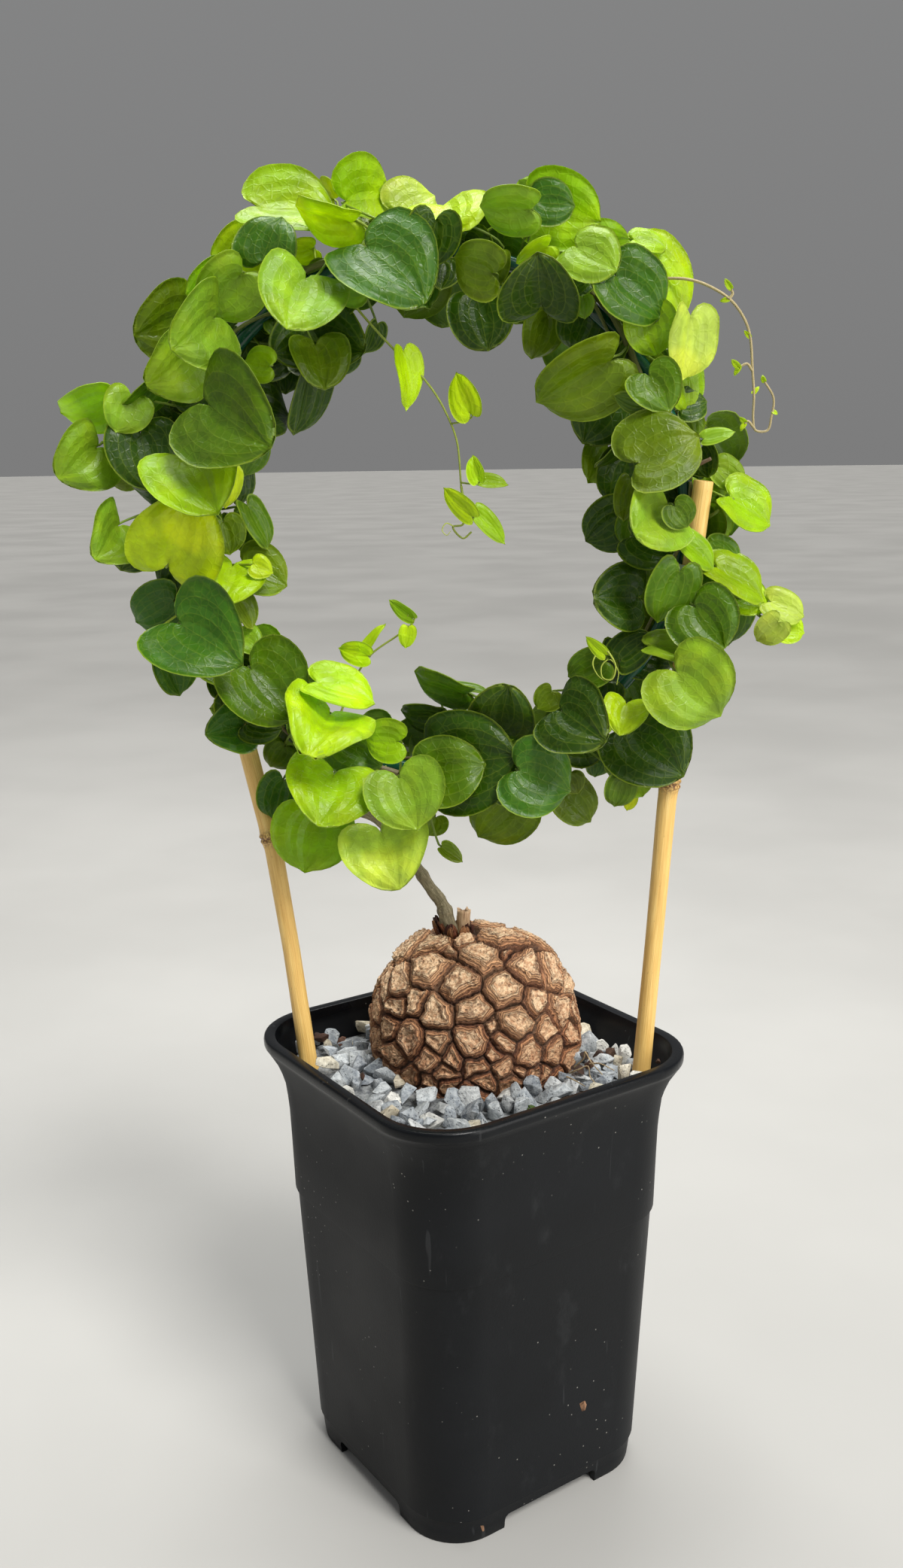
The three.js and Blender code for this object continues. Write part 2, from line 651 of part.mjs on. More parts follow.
// A leaf's own axes: its foot at the notch, along to the tip, across, and the face that looks forward.
function leafFrame([footX, footZ, tipX, tipZ, width, depth, lean, roll], nudge) {
  const foot = seen(footX, footZ, depth + nudge);
  const apart = Math.hypot(tipX - footX, tipZ - footZ);
  const drop = Math.sqrt(Math.max(0, (0.5 * TIP_ALONG * width) ** 2 - apart ** 2));
  const tip = seen(tipX, tipZ, depth + nudge - lean * drop);
  const along = tip.clone().sub(foot);
  const length = along.length();
  along.normalize();
  const sight = EYE.clone().sub(foot).normalize();
  return { foot, along, length, width, ...turned(along, sight, roll) };
}

function turned(along, facing, roll) {
  const face = facing.clone().addScaledVector(along, -facing.dot(along)).normalize();
  const across = new THREE.Vector3().crossVectors(along, face);
  const angle = THREE.MathUtils.degToRad(roll);
  const sideways = across.clone().multiplyScalar(Math.cos(angle)).addScaledVector(face, Math.sin(angle));
  const outward = face.multiplyScalar(Math.cos(angle)).addScaledVector(across, -Math.sin(angle));
  return { across: sideways, face: outward };
}

function onLeaf(frame, across, along, lift) {
  const half = frame.width / 2;
  const rise = half * (CUP * Math.abs(across) - DROOP * along * along) + lift;
  return frame.foot.clone()
    .addScaledVector(frame.across, half * across)
    .addScaledVector(frame.along, frame.length * along / TIP_ALONG)
    .addScaledVector(frame.face, rise);
}

function edgeFor(width) {
  if (width < 17) {
    return YOUNG_EDGE;
  }
  return width < 31 ? PLAIN_EDGE : BROAD_EDGE;
}

// A leaf: a thin blade, both faces split into the same triangles with a narrow rim between them, whose
// back opens at the notch into a three-sided stalk that follows the route.
function leafBody(frame, thickness, route) {
  const edge = edgeFor(frame.width);
  const broad = edge === BROAD_EDGE;
  const outline = [[0, 0], ...edge, [0, TIP_ALONG], ...edge.map(([u, v]) => [-u, v]).reverse()];
  const flat = broad ? [...outline, [0, RIB_MIDDLE]] : outline;
  const rib = outline.length;
  const tip = edge.length + 1;
  const count = flat.length;
  const backFoot = 2 * count;
  const triangles = [];
  for (const side of [1, -1]) {
    const at = (index) => (side > 0 ? 1 + index : outline.length - 1 - index);
    const add = (a, b, c) => triangles.push(side > 0 ? [a, b, c, side] : [a, c, b, side]);
    for (let i = 0; i + 1 < edge.length; i += 1) {
      add(broad && i > 0 ? rib : 0, at(i), at(i + 1));
    }
    if (broad) {
      add(0, at(1), rib);
    }
    add(broad ? rib : 0, at(edge.length - 1), tip);
  }
  const layers = [-0.5 * thickness, 0.5 * thickness];
  const vertices = layers.flatMap((lift) => flat.map(([u, v]) => onLeaf(frame, u, v, lift)));
  const half = 2 * PETIOLE_RADIUS / frame.width;
  vertices[0] = onLeaf(frame, half, 0, -0.5 * thickness);
  vertices.push(onLeaf(frame, -half, 0, -0.5 * thickness));
  const back = (index, side) => (index === 0 && side < 0 ? backFoot : index);
  const faces = triangles.flatMap(([a, b, c, side]) => [
    [back(a, side), back(c, side), back(b, side)], [a + count, b + count, c + count],
  ]);
  faces.push([0, backFoot, broad ? rib : tip]);
  for (let i = 0; i < outline.length; i += 1) {
    const next = (i + 1) % outline.length;
    const nextBack = next === 0 ? backFoot : next;
    faces.push([i, next + count, i + count], [i, nextBack, next + count]);
  }
  let ring = [count, 0, backFoot];
  let heading = frame.along.clone().negate();
  const swing = new THREE.Quaternion();
  route.slice(1).forEach((point, step) => {
    const direction = point.clone().sub(route[step]).normalize();
    swing.premultiply(new THREE.Quaternion().setFromUnitVectors(heading, direction));
    heading = direction;
    const first = vertices.length;
    for (let corner = 0; corner < 3; corner += 1) {
      const turn = 2 * Math.PI * corner / 3;
      const offset = frame.face.clone().multiplyScalar(Math.cos(turn));
      offset.addScaledVector(frame.across, Math.sin(turn)).applyQuaternion(swing);
      vertices.push(point.clone().addScaledVector(offset, PETIOLE_RADIUS));
    }
    for (let corner = 0; corner < 3; corner += 1) {
      const other = (corner + 1) % 3;
      faces.push([ring[corner], first + corner, first + other], [ring[corner], first + other, ring[other]]);
    }
    ring = [first, first + 1, first + 2];
  });
  faces.push([ring[0], ring[2], ring[1]]);
  return surface(vertices, faces);
}

// The room that a blade needs round it to stand clear of others.
function bladeRoom(frame) {
  const grown = { ...frame, width: frame.width + 2 * GAP, length: frame.length + 2 * GAP };
  grown.foot = frame.foot.clone().addScaledVector(frame.along, -GAP);
  return leafBody(grown, CLEAR_THICKNESS, [grown.foot, onLeaf(grown, 0, -0.1, 0)]);
}

// Leaves that show from the front. Each row: foot x and z, tip x and z as seen against the hoop's plane,
// true width, depth behind the plane (negative is nearer), tip nearer (1) or further (-1) than the foot,
// and the roll about the rib in degrees.
const UPPER_LEFT_LEAVES = [
  [-79, 543, -49, 544, 36, 4, -1, 55], [-83, 531, -97, 522, 24, 10, 1, 20],
  [-79, 524, -72, 541, 24, -6, -1, 20], [-88, 519, -103, 503, 26, -22, 1, 15],
  [-97, 517, -108, 512, 22, 6, 1, 20], [-100, 503, -112, 491, 33, -16, 1, 35],
  [-111, 502, -128, 497, 34, 2, 1, 10], [-110, 489, -123, 477, 30, -6, 1, 30],
  [-64, 495, -74, 489, 22, -4, 1, 10], [-78, 484, -88.5, 486, 14, -22, 1, 0],
  [-72, 487, -71, 474, 18, 14, 1, 10], [-85, 492, -84, 477, 20, 16, 1, 0],
  [-59, 494, -42, 490, 32, 2, 1, 10], [-59, 491, -55, 476, 24, 10, 1, 20],
  [-46, 490, -47, 479, 12, 6, 1, 50], [-34, 499, -38, 487, 11, 4, 1, 40],
  [-62, 516, -69, 501, 34, -28, 1, 0], [-59, 528, -69, 525, 13, 0, 1, 30],
  [-44, 538, -66, 540, 28, -14, 1, 55], [-45, 545, -24, 546, 34, 2, -1, 0],
  [-50, 546, -58, 551, 14, 10, -1, 20], [-37, 527, -15, 513, 40, -22, 1, 35],
  [-38, 514, -50, 523, 22, -16, -1, 10],
];
const LEFT_LEAVES = [
  [-146, 472, -166, 463, 24, -4, 1, 35], [-136, 472, -142, 460, 20, -12, 1, 10],
  [-126, 478, -140, 461, 26, -20, 1, 60], [-152, 453, -165, 441, 29, -8, 1, 20],
  [-133, 458, -129, 437, 30, 4, 1, 10], [-113, 458, -126, 468, 28, 10, 1, 10],
  [-137, 446, -151, 441, 20, 12, 1, 30], [-121, 436, -137, 432, 22, 2, 1, 60],
  [-103, 469, -85, 455, 42, -26, 1, -10], [-115, 447, -104, 431, 36, -28, 1, 10],
  [-87, 457, -89, 440, 18, 2, 1, 40], [-95, 456, -94, 441, 18, 8, 1, 30],
  [-97, 442, -96, 428, 14, -12, 1, 50], [-93, 442, -91, 429, 14, -2, 1, 40],
  [-90, 468, -69, 467, 30, -2, -1, 30], [-61, 482, -66, 456, 22, 6, 1, 50],
  [-124, 406, -114, 430, 37, -26, 1, 0], [-145, 421, -151, 409, 27, -12, 1, 35],
  [-137, 414, -144, 403, 19, 4, 1, 10], [-108, 426, -107, 412, 14, -4, 1, 20],
  [-100, 422, -97, 409, 15, -10, 1, 10], [-89, 428, -80, 412, 14, -4, 1, 40],
  [-95, 424, -88, 411, 14, 2, 1, 20], [-88, 430, -112, 430, 20, -12, 1, 70],
  [-97, 404, -101, 393, 27, -26, 1, 0], [-88, 405, -80, 402, 11, -14, 1, 10],
  [-91, 404, -74, 397, 22, -2, 1, 20],
];
const LOWER_LEFT_LEAVES = [
  [-120, 380, -98, 367, 39, -24, 1, 10], [-123, 390, -141, 379, 25, -10, 1, 10],
  [-112, 394, -127, 386, 18, 0, 1, 30], [-97, 393, -88, 379, 14, -8, 1, 50],
  [-94, 376, -88, 370, 13, -6, 1, 10], [-91, 361, -73, 341, 37, -18, 1, 15],
  [-127, 368, -121, 350, 20, -8, 1, 30], [-133, 376, -134, 371, 8, -4, 1, 10],
  [-106, 358, -105, 348, 11, 2, 1, 20], [-96, 337, -108, 334, 23, -14, 1, 0],
  [-93, 338, -79, 336, 16, -8, 1, 0], [-103, 345, -109, 344, 10, 2, 1, 20],
  [-78, 328, -84, 319, 15, 4, 1, 10], [-79, 313, -84, 295, 20, -12, 1, 10],
  [-58, 342, -63, 333, 37, -26, 1, 0], [-62, 355, -38, 350, 24, -10, 1, 50],
  [-57, 316, -63, 298, 37, -28, 1, 0], [-53, 330, -38, 322, 24, -14, 1, 10],
  [-66, 297, -71, 273, 35, -16, 1, 0], [-37, 291, -31, 270, 36, -20, 1, 0],
];
const LOWER_LEAVES = [
  [-15, 317, 6, 321, 29, -26, 1, 0], [-9, 321, 19, 325, 42, -12, 1, 0],
  [-29, 315, -22, 294, 32, -24, 1, 0], [-29, 331, -44, 332, 18, -22, 1, 10],
  [-12, 342, -28, 341, 20, 6, 1, 50], [-3, 351, -8, 342, 14, -2, 1, 20],
  [-2, 352, -23, 356, 22, -8, 1, 60], [-9, 353, 12, 353, 14, -12, 1, 70],
  [-14, 298, -17, 290, 12, 4, 1, 10], [-11, 286, -6, 297, 11, 6, -1, 10],
  [-11, 285, -2, 279, 8, 0, 1, 20], [14, 338, 17, 352, 28, -8, 1, 0], [22, 319, 44, 310, 31, -24, 1, 0],
  [20, 306, 4, 288, 28, 6, 1, 10], [40, 344, 53, 335, 32, -20, 1, 0], [35, 352, 30, 345, 12, -2, 1, 20],
  [46, 333, 49, 320, 18, 6, 1, 20], [43, 317, 47, 309, 11, 0, 1, 10], [55, 327, 54, 316, 12, 8, 1, 20],
  [41, 311, 53, 297, 20, 4, 1, 10], [66, 347, 64, 337, 18, -28, 1, 0], [57, 344, 53, 333, 12, -20, 1, 30],
  [69, 336, 89, 320, 38, -10, 1, 10], [66, 325, 60, 316, 14, -4, 1, 20],
  [69, 318, 74, 308, 13, -10, 1, 10], [65, 315, 62, 303, 13, -6, 1, 10], [69, 309, 67, 302, 6, 2, 1, 20],
  [55, 365, 42, 358, 16, -14, 1, 10], [57, 368, 49, 375, 6, -16, 1, 20], [62, 371, 64, 353, 18, 0, 1, 30],
  [64, 366, 76, 377, 16, -4, 1, 20],
];
const RIGHT_LEAVES = [
  [93, 387, 105, 371, 28, -28, 1, 0], [86, 361, 105, 342, 36, -24, 1, 0],
  [86, 401, 79, 380, 20, -20, 1, 20], [79, 371, 106, 369, 22, -22, 1, 60],
  [90, 399, 99, 388, 17, -12, 1, 10], [91, 369, 107, 364, 20, -10, 1, 30],
  [104, 398, 108, 371, 24, 8, 1, 20], [69, 391, 55, 391, 27, -12, 1, 0], [73, 403, 74, 396, 9, -8, 1, 20],
  [80, 425, 71, 419, 30, -22, 1, 0], [68, 415, 84, 408, 21, -16, 1, 10],
  [84, 427, 90, 419, 13, -14, 1, 10], [88, 413, 101, 403, 14, -16, 1, 45],
  [99, 410, 111, 404, 14, -8, 1, 20], [102, 402, 122, 392, 20, -12, 1, 45],
  [111, 391, 121, 388, 16, -2, 1, 20], [123, 389, 137, 384, 14, -6, 1, 20],
  [126, 381, 118, 373, 13, -10, 1, 10], [127, 379, 137, 377, 12, -4, 1, 10],
  [93, 440, 103, 429, 20, 12, 1, 20], [101, 442, 111, 434, 13, 6, 1, 20],
  [106, 430, 123, 421, 24, -2, 1, 45], [98, 424, 101, 411, 16, 8, 1, 20],
  [69, 423, 66, 411, 16, -6, 1, 10], [63, 424, 49, 413, 22, 2, 1, 10], [67, 436, 65, 421, 15, -14, 1, 20],
];
const UPPER_RIGHT_LEAVES = [
  [70, 444, 92, 457, 34, -28, 1, 30], [65, 445, 60, 428, 22, -8, 1, 10], [95, 453, 107, 456, 7, -18, 1, 20],
  [87, 447, 93, 446, 9, -8, 1, 30], [57, 449, 52, 438, 20, 8, 1, 20], [64, 453, 54, 441, 14, -2, 1, 65],
  [57, 483, 30, 466, 32, -18, 1, 30], [58, 470, 49, 453, 28, -4, 1, 10], [70, 466, 59, 470, 9, -20, 1, 20],
  [73, 477, 81, 466, 20, -14, 1, 10], [85, 478, 90, 464, 20, 2, 1, 40], [88, 498, 88, 475, 24, -10, 1, 45],
  [68, 520, 88, 499, 34, -2, 1, 45], [60, 514, 79, 501, 28, -18, 1, 30], [47, 507, 48, 499, 9, -14, 1, 0],
  [72, 500, 77, 485, 20, 4, 1, 10], [77, 486, 78, 479, 10, -4, 1, 0], [68, 497, 69, 489, 10, 6, 1, 10],
  [67, 527, 79, 526, 14, 6, -1, 55], [86, 521, 81, 519, 9, 2, 1, 20],
];
const TOP_LEAVES = [
  [-5, 534, -8, 548, 34, -4, -1, 0], [-24, 541, -10, 548, 22, 12, -1, 30],
  [-10, 537, -13, 520, 20, -18, 1, 0], [-24, 526, -17, 515, 16, 0, 1, 20],
  [-21, 515, -13, 506, 20, 6, 1, 20], [-7, 521, -8, 512, 14, 4, 1, 10],
  [12, 517, -4, 522, 22, -22, 1, 20], [6, 507, 10, 489, 26, -6, 1, 0], [31, 505, 29, 521, 29, -16, 1, 10],
  [33, 500, 29, 484, 20, 6, 1, 30], [26, 540, 7, 540, 20, -20, 1, 30], [27, 538, 21, 551, 20, -2, -1, 30],
  [30, 542, 44, 541, 17, -10, -1, 10], [30, 541, 54, 534, 30, 6, -1, 0], [48, 523, 66, 528, 22, 0, -1, 0],
  [45, 525, 59, 519, 24, -18, 1, 30], [33, 526, 22, 519, 12, -18, 1, 30],
];
const FRONT_LEAVES = [
  ...UPPER_LEFT_LEAVES, ...LEFT_LEAVES, ...LOWER_LEFT_LEAVES, ...LOWER_LEAVES, ...RIGHT_LEAVES,
  ...UPPER_RIGHT_LEAVES, ...TOP_LEAVES,
];

// Leaves on the far side, by a rule: round the ring in steps, facing back and outward, tips down.
const BACK_LEAVES = 26;

function backLeafFrames() {
  const random = randomFrom(5);
  return Array.from({ length: BACK_LEAVES }, (_, i) => {
    const angle = 2 * Math.PI * (i + 0.6 * random()) / BACK_LEAVES;
    const outward = new THREE.Vector3(Math.cos(angle), 0, Math.sin(angle));
    const distance = HOOP_RADIUS - 10 + 26 * random();
    const foot = HOOP_CENTRE.clone().addScaledVector(outward, distance);
    foot.y = 12 + 10 * random();
    const along = outward.clone().multiplyScalar(0.5);
    along.add(new THREE.Vector3(0.7 * (random() - 0.5), 0.25 + 0.4 * random(), -0.9)).normalize();
    const facing = new THREE.Vector3(0.5 * outward.x, 1, 0.5 * outward.z + 0.35);
    const width = 19 + 13 * random();
    const roll = 50 * (random() - 0.5);
    return (nudge) => {
      const place = foot.clone();
      place.y += Math.abs(nudge);
      return { foot: place, along, length: 0.75 * width, width, ...turned(along, facing, roll) };
    };
  });
}

// Where a leaf may be set: as listed, or a little nearer or further along the line of sight.
const NUDGES = [0, -3, 3, -6, 6, -9, 9, -12, 12, -16, 16];
// How far along the vine, in degrees, a leaf stalk may start from the place next to its leaf.
const STALK_SLIDES = [0, 4, -4, 8, -8, 13, -13, 18, -18];
const WIRE_CLEARANCE = 6.5;
const STALK_ROOM_RADIUS = 1.1;
const LONGEST_STALK = 46;
const STALK_TURN_LIMIT = 0.5;
const STALK_START = 0.3;
const STALK_PAST_NOTCH = 2;
// How much of its vine's angle a stalk keeps clear of at the ends of a stretch.
const STRETCH_MARGIN = 0.02;

function stalkPath(frame, target, viaPoint) {
  return viaPoint ? [frame.foot, viaPoint, target] : [frame.foot, target];
}

// The room that a stalk needs from so far along its first part, or nothing where it would leave the
// notch towards the tip.
function stalkRoom(frame, route, skipped) {
  const away = route[1].clone().sub(frame.foot);
  const first = away.clone().normalize();
  const length = route.slice(1).reduce((sum, point, step) => sum + point.distanceTo(route[step]), 0);
  if (first.dot(frame.along) > STALK_TURN_LIMIT || length > LONGEST_STALK) {
    return null;
  }
  const outside = frame.foot.clone().addScaledVector(first, Math.min(skipped, 0.5 * away.length()));
  return boxed(bar([outside, ...route.slice(1)], STALK_ROOM_RADIUS, 5));
}

// Ways from a leaf to its stretch of vine: round the near side of the wire, or along a side shoot.
function stalkRoutes(frame, stretch, home) {
  const routes = [];
  for (const shoot of SIDE_SHOOTS.filter((entry) => entry.stretch === stretch)) {
    const path = smooth(shoot.path, SIDE_SHOOT_STEPS).slice(1);
    const nearest = path.reduce((a, b) => (a.distanceTo(frame.foot) < b.distanceTo(frame.foot) ? a : b));
    if (nearest.distanceTo(frame.foot) < SIDE_SHOOT_REACH) {
      routes.push(stalkPath(frame, nearest));
    }
  }
  const from = stretchStart(stretch) + STRETCH_MARGIN;
  const to = stretchStart(stretch + 1) - STRETCH_MARGIN;
  for (const slide of STALK_SLIDES) {
    const wanted = home + THREE.MathUtils.degToRad(slide);
    const angle = Math.min(Math.max(wanted, from), to);
    const target = vinePoint(angle);
    const radial = frame.foot.clone().sub(HOOP_CENTRE).setY(0).length() - HOOP_RADIUS;
    const leafTurn = Math.atan2(frame.foot.y, radial);
    const apart = vineTurn(angle) - leafTurn;
    const between = Math.atan2(Math.sin(apart), Math.cos(apart));
    routes.push(stalkPath(frame, target));
    routes.push(stalkPath(frame, target, besideHoop(angle, WIRE_CLEARANCE, leafTurn + between / 2)));
    const other = leafTurn + between / 2 + Math.PI;
    routes.push(stalkPath(frame, target, besideHoop(angle, WIRE_CLEARANCE, other)));
  }
  return routes;
}

function boxesMeet(a, b) {
  return ['0', '1', '2'].every((axis) => a.min[axis] < b.max[axis] && b.min[axis] < a.max[axis]);
}

// A body with its box, to find quickly what it could touch.
function boxed(body) {
  return { body, box: body.boundingBox() };
}

function meets(entry, others) {
  return others.some((other) => boxesMeet(entry.box, other.box)
    && entry.body.intersect(other.body).volume() > 1e-5);
}

// Sets every leaf on its stretch, clear of the other stretches and of all that stands round them.
function makeVine(fixed, shoots) {
  const stretches = Array.from({ length: STRETCH_COUNT }, (_, index) => {
    const stems = [stretchStem(index)];
    for (const shoot of SIDE_SHOOTS.filter((entry) => entry.stretch === index)) {
      const start = stretchOf(new THREE.Vector3(...shoot.path[0])).angle;
      const path = [vinePoint(start), ...smooth(shoot.path, SIDE_SHOOT_STEPS)];
      stems.push(bar(path, SIDE_SHOOT_RADIUS, 3));
    }
    return { parts: stems.map(boxed), blades: [] };
  });
  const rows = FRONT_LEAVES.map((row) => (nudge) => leafFrame(row, nudge));
  const frames = [...rows, ...backLeafFrames()];
  const standing = [...fixed, ...shoots].map(boxed);
  for (const frameAt of frames) {
    placeLeaf(frameAt, stretches, standing);
  }
  return stretches.map((stretch) => largestPiece(joined(stretch.parts.map((part) => part.body))));
}

function placeLeaf(frameAt, stretches, standing) {
  for (const strict of [true, false]) {
    for (const nudge of NUDGES) {
      const frame = frameAt(nudge);
      const wide = boxed(bladeRoom(frame));
      const thin = boxed(leafBody(frame, BLADE_THICKNESS, [frame.foot, onLeaf(frame, 0, -0.1, 0)]));
      const home = stretchOf(frame.foot);
      if (meets(wide, standing)) {
        continue;
      }
      const neighbours = [0, 1, STRETCH_COUNT - 1].map((step) => (home.index + step) % STRETCH_COUNT);
      for (const index of neighbours) {
        const others = stretches.filter((_, other) => other !== index).flatMap((entry) => entry.parts);
        if (meets(wide, others) || (strict && meets(wide, stretches[index].blades))) {
          continue;
        }
        let angle = home.angle;
        if (home.index === 0 && index === STRETCH_COUNT - 1) {
          angle += 2 * Math.PI;
        }
        if (home.index === STRETCH_COUNT - 1 && index === 0) {
          angle -= 2 * Math.PI;
        }
        const blades = strict ? stretches[index].blades : [];
        for (const route of stalkRoutes(frame, index, angle)) {
          const around = stalkRoom(frame, route, STALK_START);
          if (!around || meets(around, standing) || meets(around, others) || meets(around, blades)) {
            continue;
          }
          if (!meets(stalkRoom(frame, route, STALK_PAST_NOTCH), [thin])) {
            const leaf = boxed(leafBody(frame, BLADE_THICKNESS, route));
            stretches[index].parts.push(leaf);
            stretches[index].blades.push(leaf);
            return;
          }
        }
      }
    }
  }
}

// Young shoots

// A thin stem with small leaves, each joined to the stem by a short stalk.
function makeShoot(stems, radius, leaves) {
  const paths = stems.map(([list, steps]) => smooth(list, steps));
  const parts = paths.map((path) => bar(path, radius, 3));
  const all = paths.flat();
  for (const row of leaves) {
    const frame = leafFrame(row, 0);
    const near = all.reduce((a, b) => (a.distanceTo(frame.foot) < b.distanceTo(frame.foot) ? a : b));
    parts.push(leafBody(frame, BLADE_THICKNESS, [frame.foot, near]));
  }
  return largestPiece(joined(parts));
}

const HANGING_STEM = [
  [-47.2, -5.5, 521], [-46.5, -6, 516], [-45.3, -6, 511], [-24.8, -6, 487.2], [-19.2, -6, 482.3],
  [-11, -6, 472.7], [-5.2, -6, 462.3], [-2, -6, 453.3], [-0.5, -6, 436],
];
const HANGING_TIP = [
  [-0.5, -6, 436], [0.5, -6, 428], [0, -6, 421], [-4, -6, 420], [0, -6, 415.5], [3.5, -6, 418],
];
const HANGING_LEAVES = [
  [-24, 488, -20, 466, 16, -10, 1, 45], [3, 464, -4, 480, 14, -8, -1, 20], [6, 438, 3, 448, 8, -8, 1, 20],
  [6, 438, 18, 437, 7, -4, 1, 30], [3, 424, -9, 435, 10, -10, 1, 20], [5, 426, 17, 413, 9, -6, 1, 20],
];
const LOWER_STEM = [
  [-56.4, -4.2, 332.6], [-53, -3.5, 342], [-49, -1.5, 353], [-45.9, 0, 359.1], [-39.6, 0, 367.7],
  [-28.1, 0, 375.8], [-23, 0, 379.5],
];
const LOWER_LEAVES_YOUNG = [
  [-41, 367, -54, 370, 11, -3, 1, 10], [-42, 370, -34, 381, 6, 1, 1, 40],
  [-22, 383, -32, 390, 7, -2, 1, 30], [-24, 379, -25, 370, 8, -3, 1, 10],
];
const TENDRIL_STEM = [
  [79, 2, 513.5], [86.6, 0, 512.8], [93.8, 0, 510.7], [103.1, 0, 505.2], [108.4, 0, 498.8],
  [111.2, 0, 492.1], [112.8, 0, 478.1], [113.6, 0, 469], [113.6, 0, 460], [114.6, 0, 456],
  [119.2, 0, 455.9], [120.5, 0, 460.7], [121.1, 0, 468.1], [117.5, 0, 474.3],
];
const TENDRIL_BUDS = [
  [[103.1, 0, 505.2], [104.3, 0, 507], [103.6, 0, 509]],
  [[112.7, 0, 478.5], [110.6, 0, 481], [107.5, 0, 479.8]],
  [[114, 0, 457], [111.5, 0, 459.5], [110.5, 0, 458.5]],
];

// Assembly

const plant = new THREE.Group();
plant.position.x = POT_AXIS_X;

const tuberClear = makeTuber(GAP + 0.1);
const hoop = makeHoop();
const caneLeft = makeCane(CANE_LEFT, KNOT_LEFT_Z);
const caneRight = makeCane(CANE_RIGHT, KNOT_RIGHT_Z);
const tieLeft = makeTie(CANE_LEFT, TIE_LEFT_Z, -1);
const tieRight = makeTie(CANE_RIGHT, TIE_RIGHT_Z, 1);
const mainStem = makeMainStem(tuberClear);
const hangingShoot = makeShoot([[HANGING_STEM, 13], [HANGING_TIP, 9]], 0.6, HANGING_LEAVES);
const lowerShoot = makeShoot([[LOWER_STEM, 11]], 0.6, LOWER_LEAVES_YOUNG);
const tendril = makeShoot([[TENDRIL_STEM, 20], ...TENDRIL_BUDS.map((bud) => [bud, 2])], 0.65, []);

const holes = [
  tuberRecess(), makeCane(CANE_LEFT, KNOT_LEFT_Z, GAP), makeCane(CANE_RIGHT, KNOT_RIGHT_Z, GAP),
];
plant.add(node('pot', geometryOf(makePot()), COLOURS.pot, 0.55));
plant.add(node('soil', geometryOf(makeSoil(holes)), COLOURS.soil, 1));
plant.add(node('gravel', geometryOf(makeGravel(holes)), COLOURS.gravel, 0.95));
plant.add(node('caudex', geometryOf(makeTuber()), COLOURS.caudex, 0.9));
plant.add(node('old_stem_stub', geometryOf(makeStub(tuberClear)), COLOURS.stub, 0.85));
plant.add(node('main_stem', geometryOf(mainStem), COLOURS.stem, 0.8));
plant.add(node('hoop', geometryOf(hoop), COLOURS.hoop, 0.35));
plant.add(node('cane_left', geometryOf(caneLeft), COLOURS.cane, 0.5));
plant.add(node('cane_right', geometryOf(caneRight), COLOURS.cane, 0.5));
plant.add(node('tie_left', geometryOf(tieLeft), COLOURS.tie, 0.4));
plant.add(node('tie_right', geometryOf(tieRight), COLOURS.tie, 0.4));
const standing = [hoop, caneLeft, caneRight, tieLeft, tieRight, mainStem];
const vine = makeVine(standing, [hangingShoot, lowerShoot, tendril]).reverse();
vine.forEach((stretch, index) => {
  plant.add(node(`vine_stretch_${index + 1}`, geometryOf(stretch), COLOURS.leaf, 0.45));
});
plant.add(node('hanging_shoot', geometryOf(hangingShoot), COLOURS.shoot, 0.5));
plant.add(node('lower_inner_shoot', geometryOf(lowerShoot), COLOURS.shoot, 0.5));
plant.add(node('right_tendril', geometryOf(tendril), COLOURS.tendril, 0.6));

export default plant;
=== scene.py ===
"""Looks of a potted tortoise plant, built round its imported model.

Shapes are worked out in millimetres from the pot's axis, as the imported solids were, and placed() turns
them into metres of the shared frame."""

import math

import bmesh
import bpy
import numpy as np
from mathutils import Matrix, Vector, kdtree, noise


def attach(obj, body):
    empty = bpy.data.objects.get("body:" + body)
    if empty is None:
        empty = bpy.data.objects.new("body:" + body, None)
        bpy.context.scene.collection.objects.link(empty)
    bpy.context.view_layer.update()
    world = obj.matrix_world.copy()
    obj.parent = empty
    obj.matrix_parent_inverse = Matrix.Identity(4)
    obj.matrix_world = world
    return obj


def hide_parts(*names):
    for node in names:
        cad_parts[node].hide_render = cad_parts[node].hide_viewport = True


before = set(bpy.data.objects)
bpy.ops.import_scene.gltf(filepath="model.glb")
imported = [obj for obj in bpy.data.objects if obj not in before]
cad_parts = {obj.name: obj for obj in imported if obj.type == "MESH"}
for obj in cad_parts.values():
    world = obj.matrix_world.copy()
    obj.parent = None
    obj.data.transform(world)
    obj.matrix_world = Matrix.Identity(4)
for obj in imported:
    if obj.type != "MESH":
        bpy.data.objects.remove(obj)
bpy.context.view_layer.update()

AXIS_X = 14.5
POT_TURN = math.radians(41)
EYE = np.array([61.5, -591.3, 448.8])
# The camera: its place in millimetres from the pot's axis, its right and up, and its focal length and
# full frame in pixels.
CAMERA_PLACE = np.array([61.448, -591.328, 448.827])
CAMERA_RIGHT = np.array([0.9936827, 0.111454, -0.013139])
CAMERA_UP = np.array([-0.0120957, 0.2227569, 0.974799])
FOCAL_LENGTH = 1924.2
IMAGE_WIDTH, IMAGE_HEIGHT = 1200, 2084
TAU = 2 * math.pi


# Numbers and vectors


def placed(points):
    return (np.asarray(points, float) + [AXIS_X, 0, 0]) * 0.001


def unit(vector):
    return vector / np.linalg.norm(vector)


def smoothstep(low, high, value):
    part = np.clip((value - low) / (high - low), 0, 1)
    return part * part * (3 - 2 * part)


